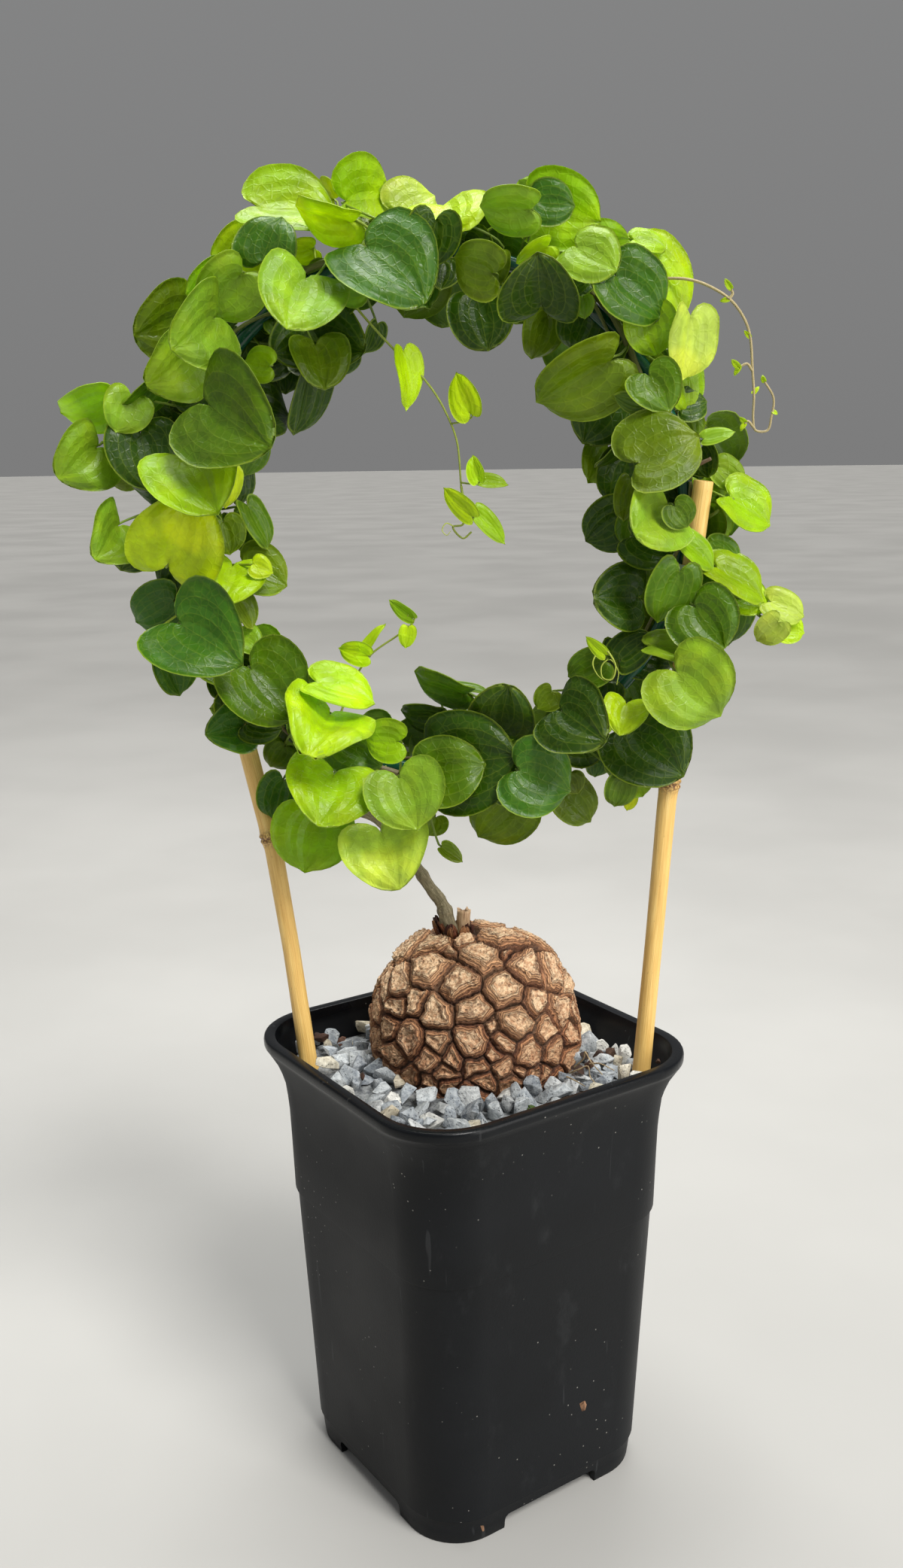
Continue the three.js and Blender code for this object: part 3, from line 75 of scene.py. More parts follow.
def random_from(seed):
    """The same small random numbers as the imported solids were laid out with."""
    state = seed

    def draw():
        nonlocal state
        state = (state + 0x6D2B79F5) & 0xFFFFFFFF
        mixed = ((state ^ (state >> 15)) * (state | 1)) & 0xFFFFFFFF
        mixed ^= (mixed + (((mixed ^ (mixed >> 7)) * (mixed | 61)) & 0xFFFFFFFF)) & 0xFFFFFFFF
        return (mixed ^ (mixed >> 14)) / 4294967296

    return draw


def colour(red, green, blue):
    """Linear colour from the usual 0 to 255 values."""
    parts = np.array([red, green, blue]) / 255
    return np.where(parts <= 0.04045, parts / 12.92, ((parts + 0.055) / 1.055) ** 2.4)


def spline(points, count):
    """Points spread evenly along a smooth curve through the given ones."""
    knots = np.array(points, float)
    ends = np.vstack([2 * knots[0] - knots[1], knots, 2 * knots[-1] - knots[-2]])
    steps = np.sqrt(np.linalg.norm(np.diff(ends, axis=0), axis=1))
    parts = []
    t = np.linspace(0, 1, 24, endpoint=False)[:, None]
    for i in range(len(knots) - 1):
        a, b, c, d = ends[i:i + 4]
        before, here, after = steps[i:i + 3]
        leave = ((b - a) / before - (c - a) / (before + here) + (c - b) / here) * here
        arrive = ((c - b) / here - (d - b) / (here + after) + (d - c) / after) * here
        parts.append(b + leave * t + (3 * (c - b) - 2 * leave - arrive) * t ** 2
                     + (2 * (b - c) + leave + arrive) * t ** 3)
    fine = np.vstack(parts + [knots[-1:]])
    run = np.concatenate([[0], np.cumsum(np.linalg.norm(np.diff(fine, axis=0), axis=1))])
    wanted = np.linspace(0, run[-1], count)
    return np.column_stack([np.interp(wanted, run, fine[:, axis]) for axis in range(3)])


# Meshes


class Skin:
    """Collects the points, faces and values at the points of one mesh."""

    def __init__(self):
        self.points = []
        self.faces = []
        self.values = {}
        self.count = 0

    def add(self, points, faces, **values):
        points = np.asarray(points, float)
        self.faces.extend([[index + self.count for index in face] for face in faces])
        for name, value in values.items():
            value = np.asarray(value, float)
            size = 1 if value.ndim == 0 else value.shape[-1]
            if value.ndim == 1 and len(value) == len(points) and len(points) > 3:
                value = value[:, None]
                size = 1
            self.values.setdefault(name, []).append(np.broadcast_to(value, (len(points), size)))
        self.points.append(points)
        self.count += len(points)

    def bar(self, path, radii, sides, tone):
        points, faces, grain = tube(path, radii, sides)
        self.add(points, faces, tone=tone, grain=grain)

    def piece(self, name, slot, material, node=None, sharp=None):
        """The finished object, riding on the body, in place of the given node."""
        mesh = bpy.data.meshes.new(name)
        mesh.from_pydata(placed(np.vstack(self.points)).tolist(), [], self.faces)
        mesh.shade_smooth()
        if sharp is not None:
            mesh.set_sharp_from_angle(angle=sharp)
        for key, parts in self.values.items():
            data = np.vstack(parts)
            if key == "tone":
                data = np.column_stack([data, np.ones(len(data))])
                layer = mesh.color_attributes.new(key, "FLOAT_COLOR", "POINT")
                layer.data.foreach_set("color", data.ravel())
            elif data.shape[1] == 3:
                mesh.attributes.new(key, "FLOAT_VECTOR", "POINT").data.foreach_set("vector", data.ravel())
            else:
                mesh.attributes.new(key, "FLOAT", "POINT").data.foreach_set("value", data.ravel())
        mesh.materials.append(material)
        mesh.update()
        piece = bpy.data.objects.new(name, mesh)
        bpy.context.scene.collection.objects.link(piece)
        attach(piece, "root")
        if node:
            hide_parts(node)
        return piece


def ring_faces(rings, sides, closed=False):
    """Faces between rings of points: capped at both ends, or joined from the last ring to the first."""
    faces = []
    for ring in range(rings if closed else rings - 1):
        here, across = ring * sides, (ring + 1) % rings * sides
        for side in range(sides):
            other = (side + 1) % sides
            faces.append([here + side, here + other, across + other, across + side])
    if not closed:
        faces.append(list(reversed(range(sides))))
        faces.append([(rings - 1) * sides + side for side in range(sides)])
    return faces


def tube(path, radii, sides):
    """A round bar through the points, with each point's place round and along it."""
    path = np.asarray(path, float)
    radii = np.broadcast_to(np.asarray(radii, float), (len(path),))
    steps = np.gradient(path, axis=0)
    steps /= np.linalg.norm(steps, axis=1)[:, None]
    run = np.concatenate([[0], np.cumsum(np.linalg.norm(np.diff(path, axis=0), axis=1))])
    angles = TAU * np.arange(sides) / sides
    across = np.array([0.31, 0.87, 0.38])
    rings = []
    grain = []
    for point, along, radius, length in zip(path, steps, radii, run):
        across = unit(across - along * across.dot(along))
        other = np.cross(along, across)
        turn = np.cos(angles)[:, None] * across + np.sin(angles)[:, None] * other
        rings.append(point + radius * turn)
        grain.append(np.column_stack([np.cos(angles), np.sin(angles), np.full(sides, length)]))
    return np.vstack(rings), ring_faces(len(path), sides), np.vstack(grain)


# Materials


class Graph:
    """A material's nodes, with short calls to add to them."""

    def __init__(self, name):
        self.material = bpy.data.materials.new(name)
        self.material.use_nodes = True
        self.tree = self.material.node_tree
        self.tree.nodes.clear()

    def add(self, kind, inputs=None, **settings):
        made = self.tree.nodes.new("ShaderNode" + kind)
        for key, value in settings.items():
            setattr(made, key, value)
        for key, value in (inputs or {}).items():
            if isinstance(value, bpy.types.NodeSocket):
                self.tree.links.new(value, made.inputs[key])
            else:
                made.inputs[key].default_value = value
        return made

    def value(self, name):
        return self.add("Attribute", attribute_name=name).outputs["Fac"]

    def tint(self, name):
        return self.add("Attribute", attribute_name=name).outputs["Color"]

    def vector(self, name):
        return self.add("Attribute", attribute_name=name).outputs["Vector"]

    def position(self):
        return self.add("TexCoord").outputs["Object"]

    def split(self, vector):
        return self.add("SeparateXYZ", {0: vector}).outputs

    def stretch(self, vector, x, y, z):
        return self.add("Mapping", {"Vector": vector, "Scale": (x, y, z)}).outputs[0]

    def noise(self, scale, vector=None, detail=4, rough=0.5, bend=0.0):
        inputs = {"Scale": scale, "Detail": detail, "Roughness": rough, "Distortion": bend}
        inputs["Vector"] = vector or self.position()
        return self.add("TexNoise", inputs).outputs["Fac"]

    def cells(self, scale, vector=None, feature="F1", output="Distance"):
        inputs = {"Scale": scale, "Vector": vector or self.position()}
        return self.add("TexVoronoi", inputs, feature=feature).outputs[output]

    def math(self, operation, a, b=0.0):
        return self.add("Math", {0: a, 1: b}, operation=operation).outputs[0]

    def product(self, a, b):
        return self.math("MULTIPLY", a, b)

    def spread(self, value, low, high, start=0.0, end=1.0):
        inputs = {"Value": value, "From Min": low, "From Max": high, "To Min": start, "To Max": end}
        return self.add("MapRange", inputs, interpolation_type="SMOOTHSTEP").outputs[0]

    def ramp(self, factor, stops):
        made = self.add("ValToRGB", {0: factor})
        points = made.color_ramp.elements
        while len(points) < len(stops):
            points.new(0.5)
        for point, (place, tint) in zip(points, stops):
            point.position = place
            point.color = (*tint, 1)
        return made.outputs["Color"]

    def mix(self, factor, a, b, blend="MIX"):
        a, b = ((*tint, 1) if isinstance(tint, (tuple, np.ndarray)) else tint for tint in (a, b))
        made = self.add("Mix", {0: factor, 6: a, 7: b}, data_type="RGBA", blend_type=blend)
        return made.outputs[2]

    def bump(self, height, millimetres, normal=None, strength=1.0):
        inputs = {"Height": height, "Distance": millimetres * 0.001, "Strength": strength}
        if normal:
            inputs["Normal"] = normal
        return self.add("Bump", inputs).outputs[0]

    def times(self, a, b):
        return self.mix(1.0, a, b, "MULTIPLY")

    def shader(self, body, rough, normal=None, **inputs):
        inputs = {key.replace("_", " "): value for key, value in inputs.items()}
        if normal is not None:
            inputs["Normal"] = normal
        return self.add("BsdfPrincipled", {"Base Color": body, "Roughness": rough, **inputs})

    def done(self, shader):
        self.add("OutputMaterial", {"Surface": shader.outputs[0]})
        return self.material


def leaf_material():
    g = Graph("leaf_green")
    tone = g.tint("tone")
    across, _, reach = g.split(g.vector("vein"))
    flat = g.vector("flat")
    side = g.math("ABSOLUTE", across)
    nearest = side
    for place in (0.34, 0.64):
        nearest = g.math("MINIMUM", nearest, g.math("ABSOLUTE", g.math("SUBTRACT", side, place)))
    away = g.product(nearest, reach)
    line = g.spread(away, 0.05, 0.34, 1.0, 0.0)
    net = g.spread(g.cells(0.3, flat, "DISTANCE_TO_EDGE"), 0.02, 0.12, 1.0, 0.0)
    mottle = g.noise(0.11, flat, 4, 0.6)
    shade = g.spread(mottle, 0.3, 0.7, 0.84, 1.16)
    body = g.times(tone, g.add("CombineColor", {0: shade, 1: shade, 2: shade}).outputs[0])
    warm = g.times(body, (1.3, 1.08, 0.7))
    body = g.mix(g.spread(g.noise(0.06, flat, 3), 0.42, 0.68, 0.0, 0.7), body, warm)
    pale = g.mix(0.5, body, colour(196, 218, 74))
    body = g.mix(g.product(net, 0.1), body, pale)
    body = g.mix(g.product(line, 0.22), body, pale)
    rim = g.spread(g.product(g.math("SUBTRACT", 1.0, side), reach), 0.15, 0.8, 1.0, 0.0)
    body = g.mix(g.product(rim, 0.85), body, pale)
    spots = g.spread(g.cells(0.21, flat), 0.03, 0.07, 1.0, 0.0)
    some = g.spread(g.noise(0.07, flat, 1), 0.56, 0.62)
    body = g.mix(g.product(g.product(spots, some), 0.5), body, colour(150, 150, 84))
    under = g.mix(0.4, body, colour(128, 158, 78))
    body = g.mix(g.value("under"), body, under)
    hills = g.math("MINIMUM", g.product(away, 0.3), 1.0)
    normal = g.bump(hills, 0.4)
    normal = g.bump(g.math("SUBTRACT", g.noise(0.35, flat, 4), g.product(net, 0.3)), 0.22, normal)
    rough = g.spread(g.noise(0.4, flat, 3), 0.3, 0.7, 0.3, 0.44)
    face = g.shader(body, rough, normal, Specular_IOR_Level=0.42)
    glow = g.times(body, (1.5, 1.45, 0.35))
    through = g.add("BsdfTranslucent", {"Color": glow, "Normal": normal})
    return g.done(g.add("MixShader", {0: 0.38, 1: face.outputs[0], 2: through.outputs[0]}))


def stem_material():
    """Thin stems and leaf stalks, in the colours of their points."""
    g = Graph("stem_green")
    grain = g.stretch(g.vector("grain"), 3.0, 3.0, 0.35)
    shade = g.noise(1.0, grain, 4, 0.6)
    body = g.mix(g.spread(shade, 0.35, 0.75), g.tint("tone"), g.mix(0.45, g.tint("tone"), colour(60, 48, 30)))
    normal = g.bump(shade, 0.18)
    return g.done(g.shader(body, g.spread(shade, 0.3, 0.7, 0.42, 0.62), normal))


def bark_material():
    g = Graph("stem_bark")
    grain = g.vector("grain")
    long_grain = g.noise(1.0, g.stretch(grain, 3.5, 3.5, 0.22), 5, 0.65)
    rings = g.noise(1.0, g.stretch(grain, 0.6, 0.6, 1.4), 4, 0.6)
    body = g.ramp(long_grain, [
        (0.25, colour(80, 70, 52)), (0.5, colour(128, 118, 90)), (0.75, colour(172, 160, 130)),
    ])
    spots = g.spread(g.noise(1.0, g.stretch(grain, 2.4, 2.4, 1.1), 2), 0.6, 0.72)
    body = g.mix(g.product(spots, 0.6), body, colour(186, 172, 142))
    body = g.mix(g.product(g.spread(rings, 0.55, 0.75), 0.5), body, colour(84, 84, 52))
    body = g.mix(g.value("young"), body, g.mix(0.5, body, colour(92, 100, 44)))
    normal = g.bump(g.math("ADD", long_grain, g.product(rings, 0.6)), 0.5)
    return g.done(g.shader(body, g.spread(rings, 0.2, 0.8, 0.6, 0.85), normal))


def dry_material():
    """Dry scales, chips and peat, in the colours of their points."""
    g = Graph("dry_scales")
    fibre = g.noise(700, g.stretch(g.position(), 1, 1, 0.35), 5, 0.65)
    tone = g.tint("tone")
    body = g.mix(g.spread(fibre, 0.3, 0.75), g.mix(0.65, tone, colour(28, 14, 8)), tone)
    normal = g.bump(fibre, 0.5)
    return g.done(g.shader(body, g.spread(fibre, 0.3, 0.8, 0.9, 0.7), normal))


def cork_material():
    g = Graph("tuber_cork")
    place = g.position()
    edge, gap, plate = g.value("edge"), g.value("gap"), g.value("plate")
    grit = g.noise(520, place, 6, 0.62)
    blotch = g.noise(75, place, 4, 0.55)
    deep = g.math("ADD", gap, g.spread(grit, 0.2, 0.8, -0.25, 0.25))
    # Down in the fissures the cork is painted to near black: its darker colour there, with painted shade.
    body = g.ramp(g.math("DIVIDE", deep, 4.0), [
        (0.0, colour(34, 15, 8)), (0.12, colour(66, 34, 20)), (0.26, colour(170, 116, 78)),
        (0.5, colour(208, 156, 112)), (0.95, colour(222, 174, 130)),
    ])
    tops = g.spread(g.math("ADD", edge, g.spread(grit, 0.2, 0.8, -0.08, 0.08)), 0.34, 0.46)
    body = g.mix(tops, body, g.mix(g.spread(grit, 0.36, 0.62), colour(196, 150, 112), colour(244, 212, 172)))
    wander = g.product(g.noise(110, place, 3, 0.5), 1.6)
    run = g.math("ADD", g.math("DIVIDE", gap, 1.3), g.math("ADD", wander, g.product(plate, 2.0)))
    side = g.product(g.spread(gap, 0.5, 0.9), g.spread(edge, 0.4, 0.62, 1.0, 0.16))
    coarse = g.spread(g.math("PINGPONG", run, 0.5), 0.03, 0.24, 1.0, 0.0)
    fine = g.spread(g.math("PINGPONG", g.product(run, 2.6), 0.5), 0.03, 0.3, 0.55, 0.0)
    grooves = g.product(g.math("MAXIMUM", coarse, fine), side)
    body = g.mix(g.spread(blotch, 0.42, 0.7, 0.0, 0.5), body, g.mix(0.55, body, colour(134, 78, 48)))
    body = g.mix(g.product(grooves, 0.82), body, colour(92, 52, 32))
    body = g.mix(g.spread(g.value("crack"), 0.07, 0.01, 0.0, 0.55), body, colour(74, 40, 26))
    low = g.spread(g.split(place)[2], 0.226, 0.188, 0.0, 0.6)
    body = g.mix(low, body, g.times(body, (0.8, 0.58, 0.46)))
    body = g.mix(g.product(plate, 0.25), body, g.mix(0.5, body, colour(226, 190, 146)))
    pits = g.spread(g.cells(430, place), 0.12, 0.34)
    body = g.mix(g.spread(pits, 1.0, 0.0, 0.0, 0.5), body, colour(92, 54, 34))
    normal = g.bump(g.product(grooves, -1.0), 1.1)
    normal = g.bump(pits, 0.35, normal)
    normal = g.bump(grit, 0.9, normal)
    return g.done(g.shader(body, g.spread(grit, 0.3, 0.7, 0.9, 0.66), normal))


def stub_material():
    g = Graph("stub_wood")
    fibre = g.noise(1.0, g.stretch(g.vector("grain"), 5, 5, 0.18), 5, 0.65)
    body = g.ramp(fibre, [
        (0.25, colour(140, 98, 66)), (0.55, colour(210, 176, 138)), (0.8, colour(234, 208, 176)),
    ])
    # The hollow top is painted dark: painted shade inside the stub's end.
    body = g.mix(g.value("core"), body, colour(52, 32, 20))
    return g.done(g.shader(body, g.spread(fibre, 0.2, 0.8, 0.85, 0.7), g.bump(fibre, 0.5)))


def bamboo_material():
    g = Graph("bamboo_straw")
    grain = g.vector("grain")
    fibre = g.noise(1.0, g.stretch(grain, 9, 9, 0.05), 4, 0.6)
    cloud = g.noise(1.0, g.stretch(grain, 0.9, 0.9, 0.03), 3)
    body = g.ramp(fibre, [
        (0.25, colour(214, 166, 84)), (0.55, colour(242, 202, 120)), (0.8, colour(252, 224, 152)),
    ])
    body = g.mix(g.spread(cloud, 0.42, 0.7, 0.0, 0.5), body, g.mix(0.6, body, colour(206, 152, 78)))
    flecks = g.spread(g.noise(1.0, g.stretch(grain, 5, 5, 0.4), 2), 0.68, 0.78)
    body = g.mix(g.product(flecks, 0.5), body, colour(140, 92, 48))
    knot = g.product(g.value("knot"), g.spread(g.noise(1.0, g.stretch(grain, 4, 4, 1.2), 4), 0.3, 0.6))
    body = g.mix(knot, body, colour(112, 70, 36))
    # The cut end's hollow is painted dark: painted shade inside the cane.
    body = g.mix(g.value("core"), body, colour(48, 28, 14))
    normal = g.bump(fibre, 0.22)
    return g.done(g.shader(body, g.spread(cloud, 0.3, 0.7, 0.4, 0.54), normal))


def pot_material():
    g = Graph("pot_black")
    place = g.position()
    grain = g.noise(900, place, 4, 0.6)
    cloud = g.noise(14, place, 4, 0.55)
    body = g.mix(g.spread(cloud, 0.35, 0.7), colour(9, 11, 14), colour(17, 19, 22))
    dust = g.spread(g.noise(60, g.stretch(place, 1, 1, 0.5), 5, 0.7), 0.56, 0.78, 0.0, 0.12)
    body = g.mix(dust, body, colour(84, 86, 88))
    specks = g.spread(g.cells(230, place), 0.05, 0.09, 1.0, 0.0)
    some = g.spread(g.noise(26, place, 2), 0.48, 0.58)
    specks = g.product(specks, some)
    body = g.mix(g.product(specks, 0.75), body, colour(150, 148, 142))
    scratch = g.spread(g.noise(30, g.stretch(place, 9, 9, 0.5), 2, 0.4, 0.6), 0.72, 0.75, 0.0, 0.08)
    body = g.mix(scratch, body, colour(120, 122, 124))
    rough = g.math("ADD", g.spread(cloud, 0.3, 0.7, 0.5, 0.6), g.product(dust, 0.5))
    rim = g.spread(g.split(place)[2], 0.1905, 0.195)
    rough = g.math("SUBTRACT", rough, g.product(rim, 0.27))
    normal = g.bump(grain, 0.05)
    return g.done(g.shader(body, rough, normal, Specular_IOR_Level=0.2))


def stone_material():
    g = Graph("pumice_stone")
    place = g.position()
    grit = g.noise(420, place, 6, 0.65)
    tone = g.tint("tone")
    dull, bright = g.mix(0.4, tone, colour(66, 72, 80)), g.mix(0.35, tone, colour(226, 228, 226))
    body = g.mix(g.spread(grit, 0.3, 0.7), dull, bright)
    holes = g.spread(g.cells(700, place), 0.1, 0.32)
    body = g.mix(g.spread(holes, 1.0, 0.0, 0.0, 0.5), body, colour(64, 66, 70))
    normal = g.bump(holes, 0.25)
    normal = g.bump(grit, 0.9, normal)
    return g.done(g.shader(body, g.spread(grit, 0.3, 0.7, 0.95, 0.8), normal))


def soil_material():
    g = Graph("potting_mix")
    place = g.position()
    crumbs = g.cells(260, place, "F1", "Color")
    grit = g.noise(380, place, 6, 0.7)
    body = g.ramp(g.split(crumbs)[0], [
        (0.2, colour(38, 26, 18)), (0.7, colour(70, 48, 32)), (0.95, colour(132, 126, 116)),
    ])
    body = g.mix(g.spread(grit, 0.3, 0.7), g.mix(0.5, body, colour(20, 13, 9)), body)
    return g.done(g.shader(body, g.spread(grit, 0.3, 0.7, 0.98, 0.85), g.bump(grit, 2.0)))


def hoop_material():
    g = Graph("hoop_green")
    place = g.position()
    cloud = g.noise(90, place, 3)
    body = g.mix(g.spread(cloud, 0.35, 0.7), colour(8, 62, 44), colour(16, 84, 60))
    dust = g.spread(g.noise(420, place, 5, 0.7), 0.56, 0.75, 0.0, 0.2)
    body = g.mix(dust, body, colour(120, 140, 120))
    rough = g.math("ADD", g.spread(cloud, 0.3, 0.7, 0.16, 0.26), dust)
    return g.done(g.shader(body, rough, g.bump(cloud, 0.12)))


def film_material():
    g = Graph("tie_film")
    cloud = g.noise(240, g.position(), 4)
    body = g.mix(g.spread(cloud, 0.35, 0.7), colour(214, 220, 212), colour(236, 238, 234))
    face = g.shader(body, g.spread(cloud, 0.3, 0.7, 0.28, 0.42), g.bump(cloud, 0.1))
    through = g.add("BsdfTranslucent", {"Color": body})
    return g.done(g.add("MixShader", {0: 0.35, 1: face.outputs[0], 2: through.outputs[0]}))


def floor_material():
    g = Graph("studio_floor")
    cloud = g.noise(2.2, g.position(), 5)
    body = g.mix(g.spread(cloud, 0.3, 0.7), colour(168, 167, 164), colour(177, 176, 173))
    return g.done(g.shader(body, g.spread(cloud, 0.3, 0.7, 0.7, 0.85)))


LEAF = leaf_material()
STEM = stem_material()
BARK = bark_material()
DRY = dry_material()
CORK = cork_material()
STUB_WOOD = stub_material()
BAMBOO = bamboo_material()
BLACK = pot_material()
STONE = stone_material()
SOIL = soil_material()
GREEN_COATING = hoop_material()
FILM = film_material()


# Pot, soil and gravel


def square_ring(side, corner, z, steps=14):
    """A square outline with round corners, turned as the pot stands."""
    inset = side / 2 - corner
    points = []
    for quarter in range(4):
        middle = quarter * math.pi / 2 + math.pi / 4
        for turn in np.linspace(middle - math.pi / 4, middle + math.pi / 4, steps):
            x = inset * math.sqrt(2) * math.cos(middle) + corner * math.cos(turn)
            y = inset * math.sqrt(2) * math.sin(middle) + corner * math.sin(turn)
            points.append([x * math.cos(POT_TURN) - y * math.sin(POT_TURN),
                           x * math.sin(POT_TURN) + y * math.cos(POT_TURN), z])
    return np.array(points)


# Height, side and corner radius: up the outside, over the rim and down the inside.
POT_PROFILE = [
    (9.3, 108.5, 21), (0.4, 108.5, 21), (0, 109.2, 21.3), (0, 113.7, 23.6), (0.5, 114.5, 24),
    (6, 115.8, 24.5), (11.5, 116.9, 25), (11.8, 117.3, 25), (12.2, 118.2, 25), (12.6, 118.3, 25),
    (60, 122.3, 25.4),
    (124.8, 128.1, 26), (125.2, 128.3, 26), (125.5, 129.5, 26), (126, 129.8, 26), (150, 131.3, 26.7),
    (163, 132.2, 27), (170, 133.3, 27.3), (177, 135, 28), (182, 137.8, 29), (187, 141.5, 30),
    (190.5, 145.3, 31), (192.6, 147.7, 31.6), (193.4, 148.3, 31.8), (194, 149.4, 32), (194.8, 149.9, 32),
    (196.6, 150, 32), (197.6, 149.7, 31.9), (198.2, 149, 31.5), (198.4, 148.2, 31.2), (198.4, 141.6, 28.7),
    (198.1, 140.6, 28.2), (197.2, 140, 28), (194.5, 138.9, 27.5), (192, 138, 27), (186, 133.6, 25.6),
    (180, 129.5, 24.5), (170, 127.4, 24.3), (12.6, 113.2, 22.6), (12.3, 112.6, 22.3),
]
POT_SHARP = math.radians(38)
FOOT_GAP_WIDTH = 50
FOOT_GAP_HEIGHT = 7
FOOT_GAP_CORNER = 2.6
DRAIN_RADIUS = 5
DRAIN_SPREAD = 32
QUARTERS = [POT_TURN + quarter * math.pi / 2 for quarter in range(4)]


def gap_cutter(turn):
    """A long bar with round upper edges, across the pot's foot."""
    half, high = FOOT_GAP_WIDTH / 2, FOOT_GAP_HEIGHT - FOOT_GAP_CORNER
    outline = [(-half, -3), (half, -3)]
    for side, first in ((1, 0), (-1, math.pi / 2)):
        for angle in np.linspace(first, first + math.pi / 2, 5):
            outline.append((side * (half - FOOT_GAP_CORNER) + FOOT_GAP_CORNER * math.cos(angle),
                            high + FOOT_GAP_CORNER * math.sin(angle)))
    across = np.array([math.cos(turn), math.sin(turn), 0])
    through = np.array([-math.sin(turn), math.cos(turn), 0])
    rings = [[across * x + through * y + [0, 0, z] for x, z in outline] for y in (-100, 100)]
    return np.vstack(rings), ring_faces(2, len(outline))


def outward_faces(mesh):
    shape = bmesh.new()
    shape.from_mesh(mesh)
    bmesh.ops.recalc_face_normals(shape, faces=shape.faces[:])
    shape.to_mesh(mesh)
    shape.free()


def cutter_object(points, faces):
    mesh = bpy.data.meshes.new("cutter")
    mesh.from_pydata(placed(points).tolist(), [], faces)
    outward_faces(mesh)
    piece = bpy.data.objects.new("cutter", mesh)
    bpy.context.scene.collection.objects.link(piece)
    return piece


def make_pot():
    rings = [square_ring(side, corner, z) for z, side, corner in POT_PROFILE]
    skin = Skin()
    skin.add(np.vstack(rings), ring_faces(len(rings), len(rings[0])))
    pot = skin.piece("pot_moulded", "pot_plastic", BLACK, "pot")
    outward_faces(pot.data)
    cutters = [cutter_object(*gap_cutter(turn)) for turn in QUARTERS[:2]]
    for turn in QUARTERS:
        x, y = DRAIN_SPREAD * math.cos(turn), DRAIN_SPREAD * math.sin(turn)
        cutters.append(cutter_object(*tube([[x, y, 3], [x, y, 20]], DRAIN_RADIUS, 24)[:2]))
    for cutter in cutters:
        cut = pot.modifiers.new("cut", "BOOLEAN")
        cut.object = cutter
        cut.operation = "DIFFERENCE"
        cut.solver = "EXACT"
    bpy.context.view_layer.update()
    whole = bpy.data.meshes.new_from_object(pot.evaluated_get(bpy.context.evaluated_depsgraph_get()))
    pot.modifiers.clear()
    pot.data = whole
    whole.set_sharp_from_angle(angle=POT_SHARP)
    for cutter in cutters:
        bpy.data.objects.remove(cutter)


TUBER_CENTRE = np.array([0.5, 15, 196])
TUBER_CLEARANCE = 44.5
CANE_RADIUS = 3.9
CANE_FEET = [(-72.5, -1.3), (74.8, -0.5)]
STONE_GRID = 8.6
STONE_SIZES = ([4, 5, 5.9, 7], [0.25, 0.33, 0.27, 0.15])
STONE_SIDE_REACH = 67.5
STONE_CORNER_REACH = 116
STONE_SHARP = math.radians(24)
# Height, side and corner radius of the bed that the stones lie on.
BED_PROFILE = [(178.4, 128, 24), (180, 128.8, 24.4), (182.5, 130.4, 25)]
BED_LEVEL = 184.3
STONE_TONES = [
    (0.34, (150, 158, 166)), (0.16, (112, 120, 130)), (0.24, (184, 190, 194)), (0.12, (208, 210, 210)),
    (0.08, (218, 202, 168)), (0.06, (238, 236, 228)),
]
# Single stones that stand out: middle, size and colour.
CHOSEN_STONES = [
    ((75, -21, 190), 7.6, (230, 226, 214)), ((58, -33, 189), 5.6, (214, 202, 170)),
    ((67, -12, 189), 5.2, (208, 196, 170)), ((-62, -12, 189), 5.4, (222, 212, 186)),
    ((-49, -39, 188), 5.0, (216, 214, 204)), ((20, -66, 188), 5.6, (222, 220, 212)),
]


def stone_shapes(count, seed):
    """Angular stones with blunt edges, about one unit in radius."""
    draw = np.random.default_rng(seed)
    shapes = []
    for _ in range(count):
        shape = bmesh.new()
        corners = draw.normal(size=(11, 3))
        corners /= np.linalg.norm(corners, axis=1)[:, None]
        corners *= draw.uniform(0.82, 1.1, (11, 1)) * [1.2, 0.92, 0.8]
        for corner in corners:
            shape.verts.new(corner)
        hull = bmesh.ops.convex_hull(shape, input=shape.verts)
        bmesh.ops.delete(shape, geom=[v for v in hull["geom_interior"] if isinstance(v, bmesh.types.BMVert)])
        bmesh.ops.bevel(shape, geom=shape.edges[:], offset=0.05, segments=1, profile=0.5, affect="EDGES",
                        clamp_overlap=True)
        shape.verts.ensure_lookup_table()
        index = {vert: place for place, vert in enumerate(shape.verts)}
        shapes.append((np.array([vert.co[:] for vert in shape.verts]),
                       [[index[vert] for vert in face.verts] for face in shape.faces]))
        shape.free()
    return shapes


def turned_about(draw):
    axis = unit(draw.normal(size=3))
    return np.array(Matrix.Rotation(draw.uniform(0, TAU), 3, Vector(axis)))


def in_pot(x, y, side, corner):
    along = abs(x * math.cos(POT_TURN) + y * math.sin(POT_TURN))
    across = abs(y * math.cos(POT_TURN) - x * math.sin(POT_TURN))
    return max(along, across) < side and along + across < corner


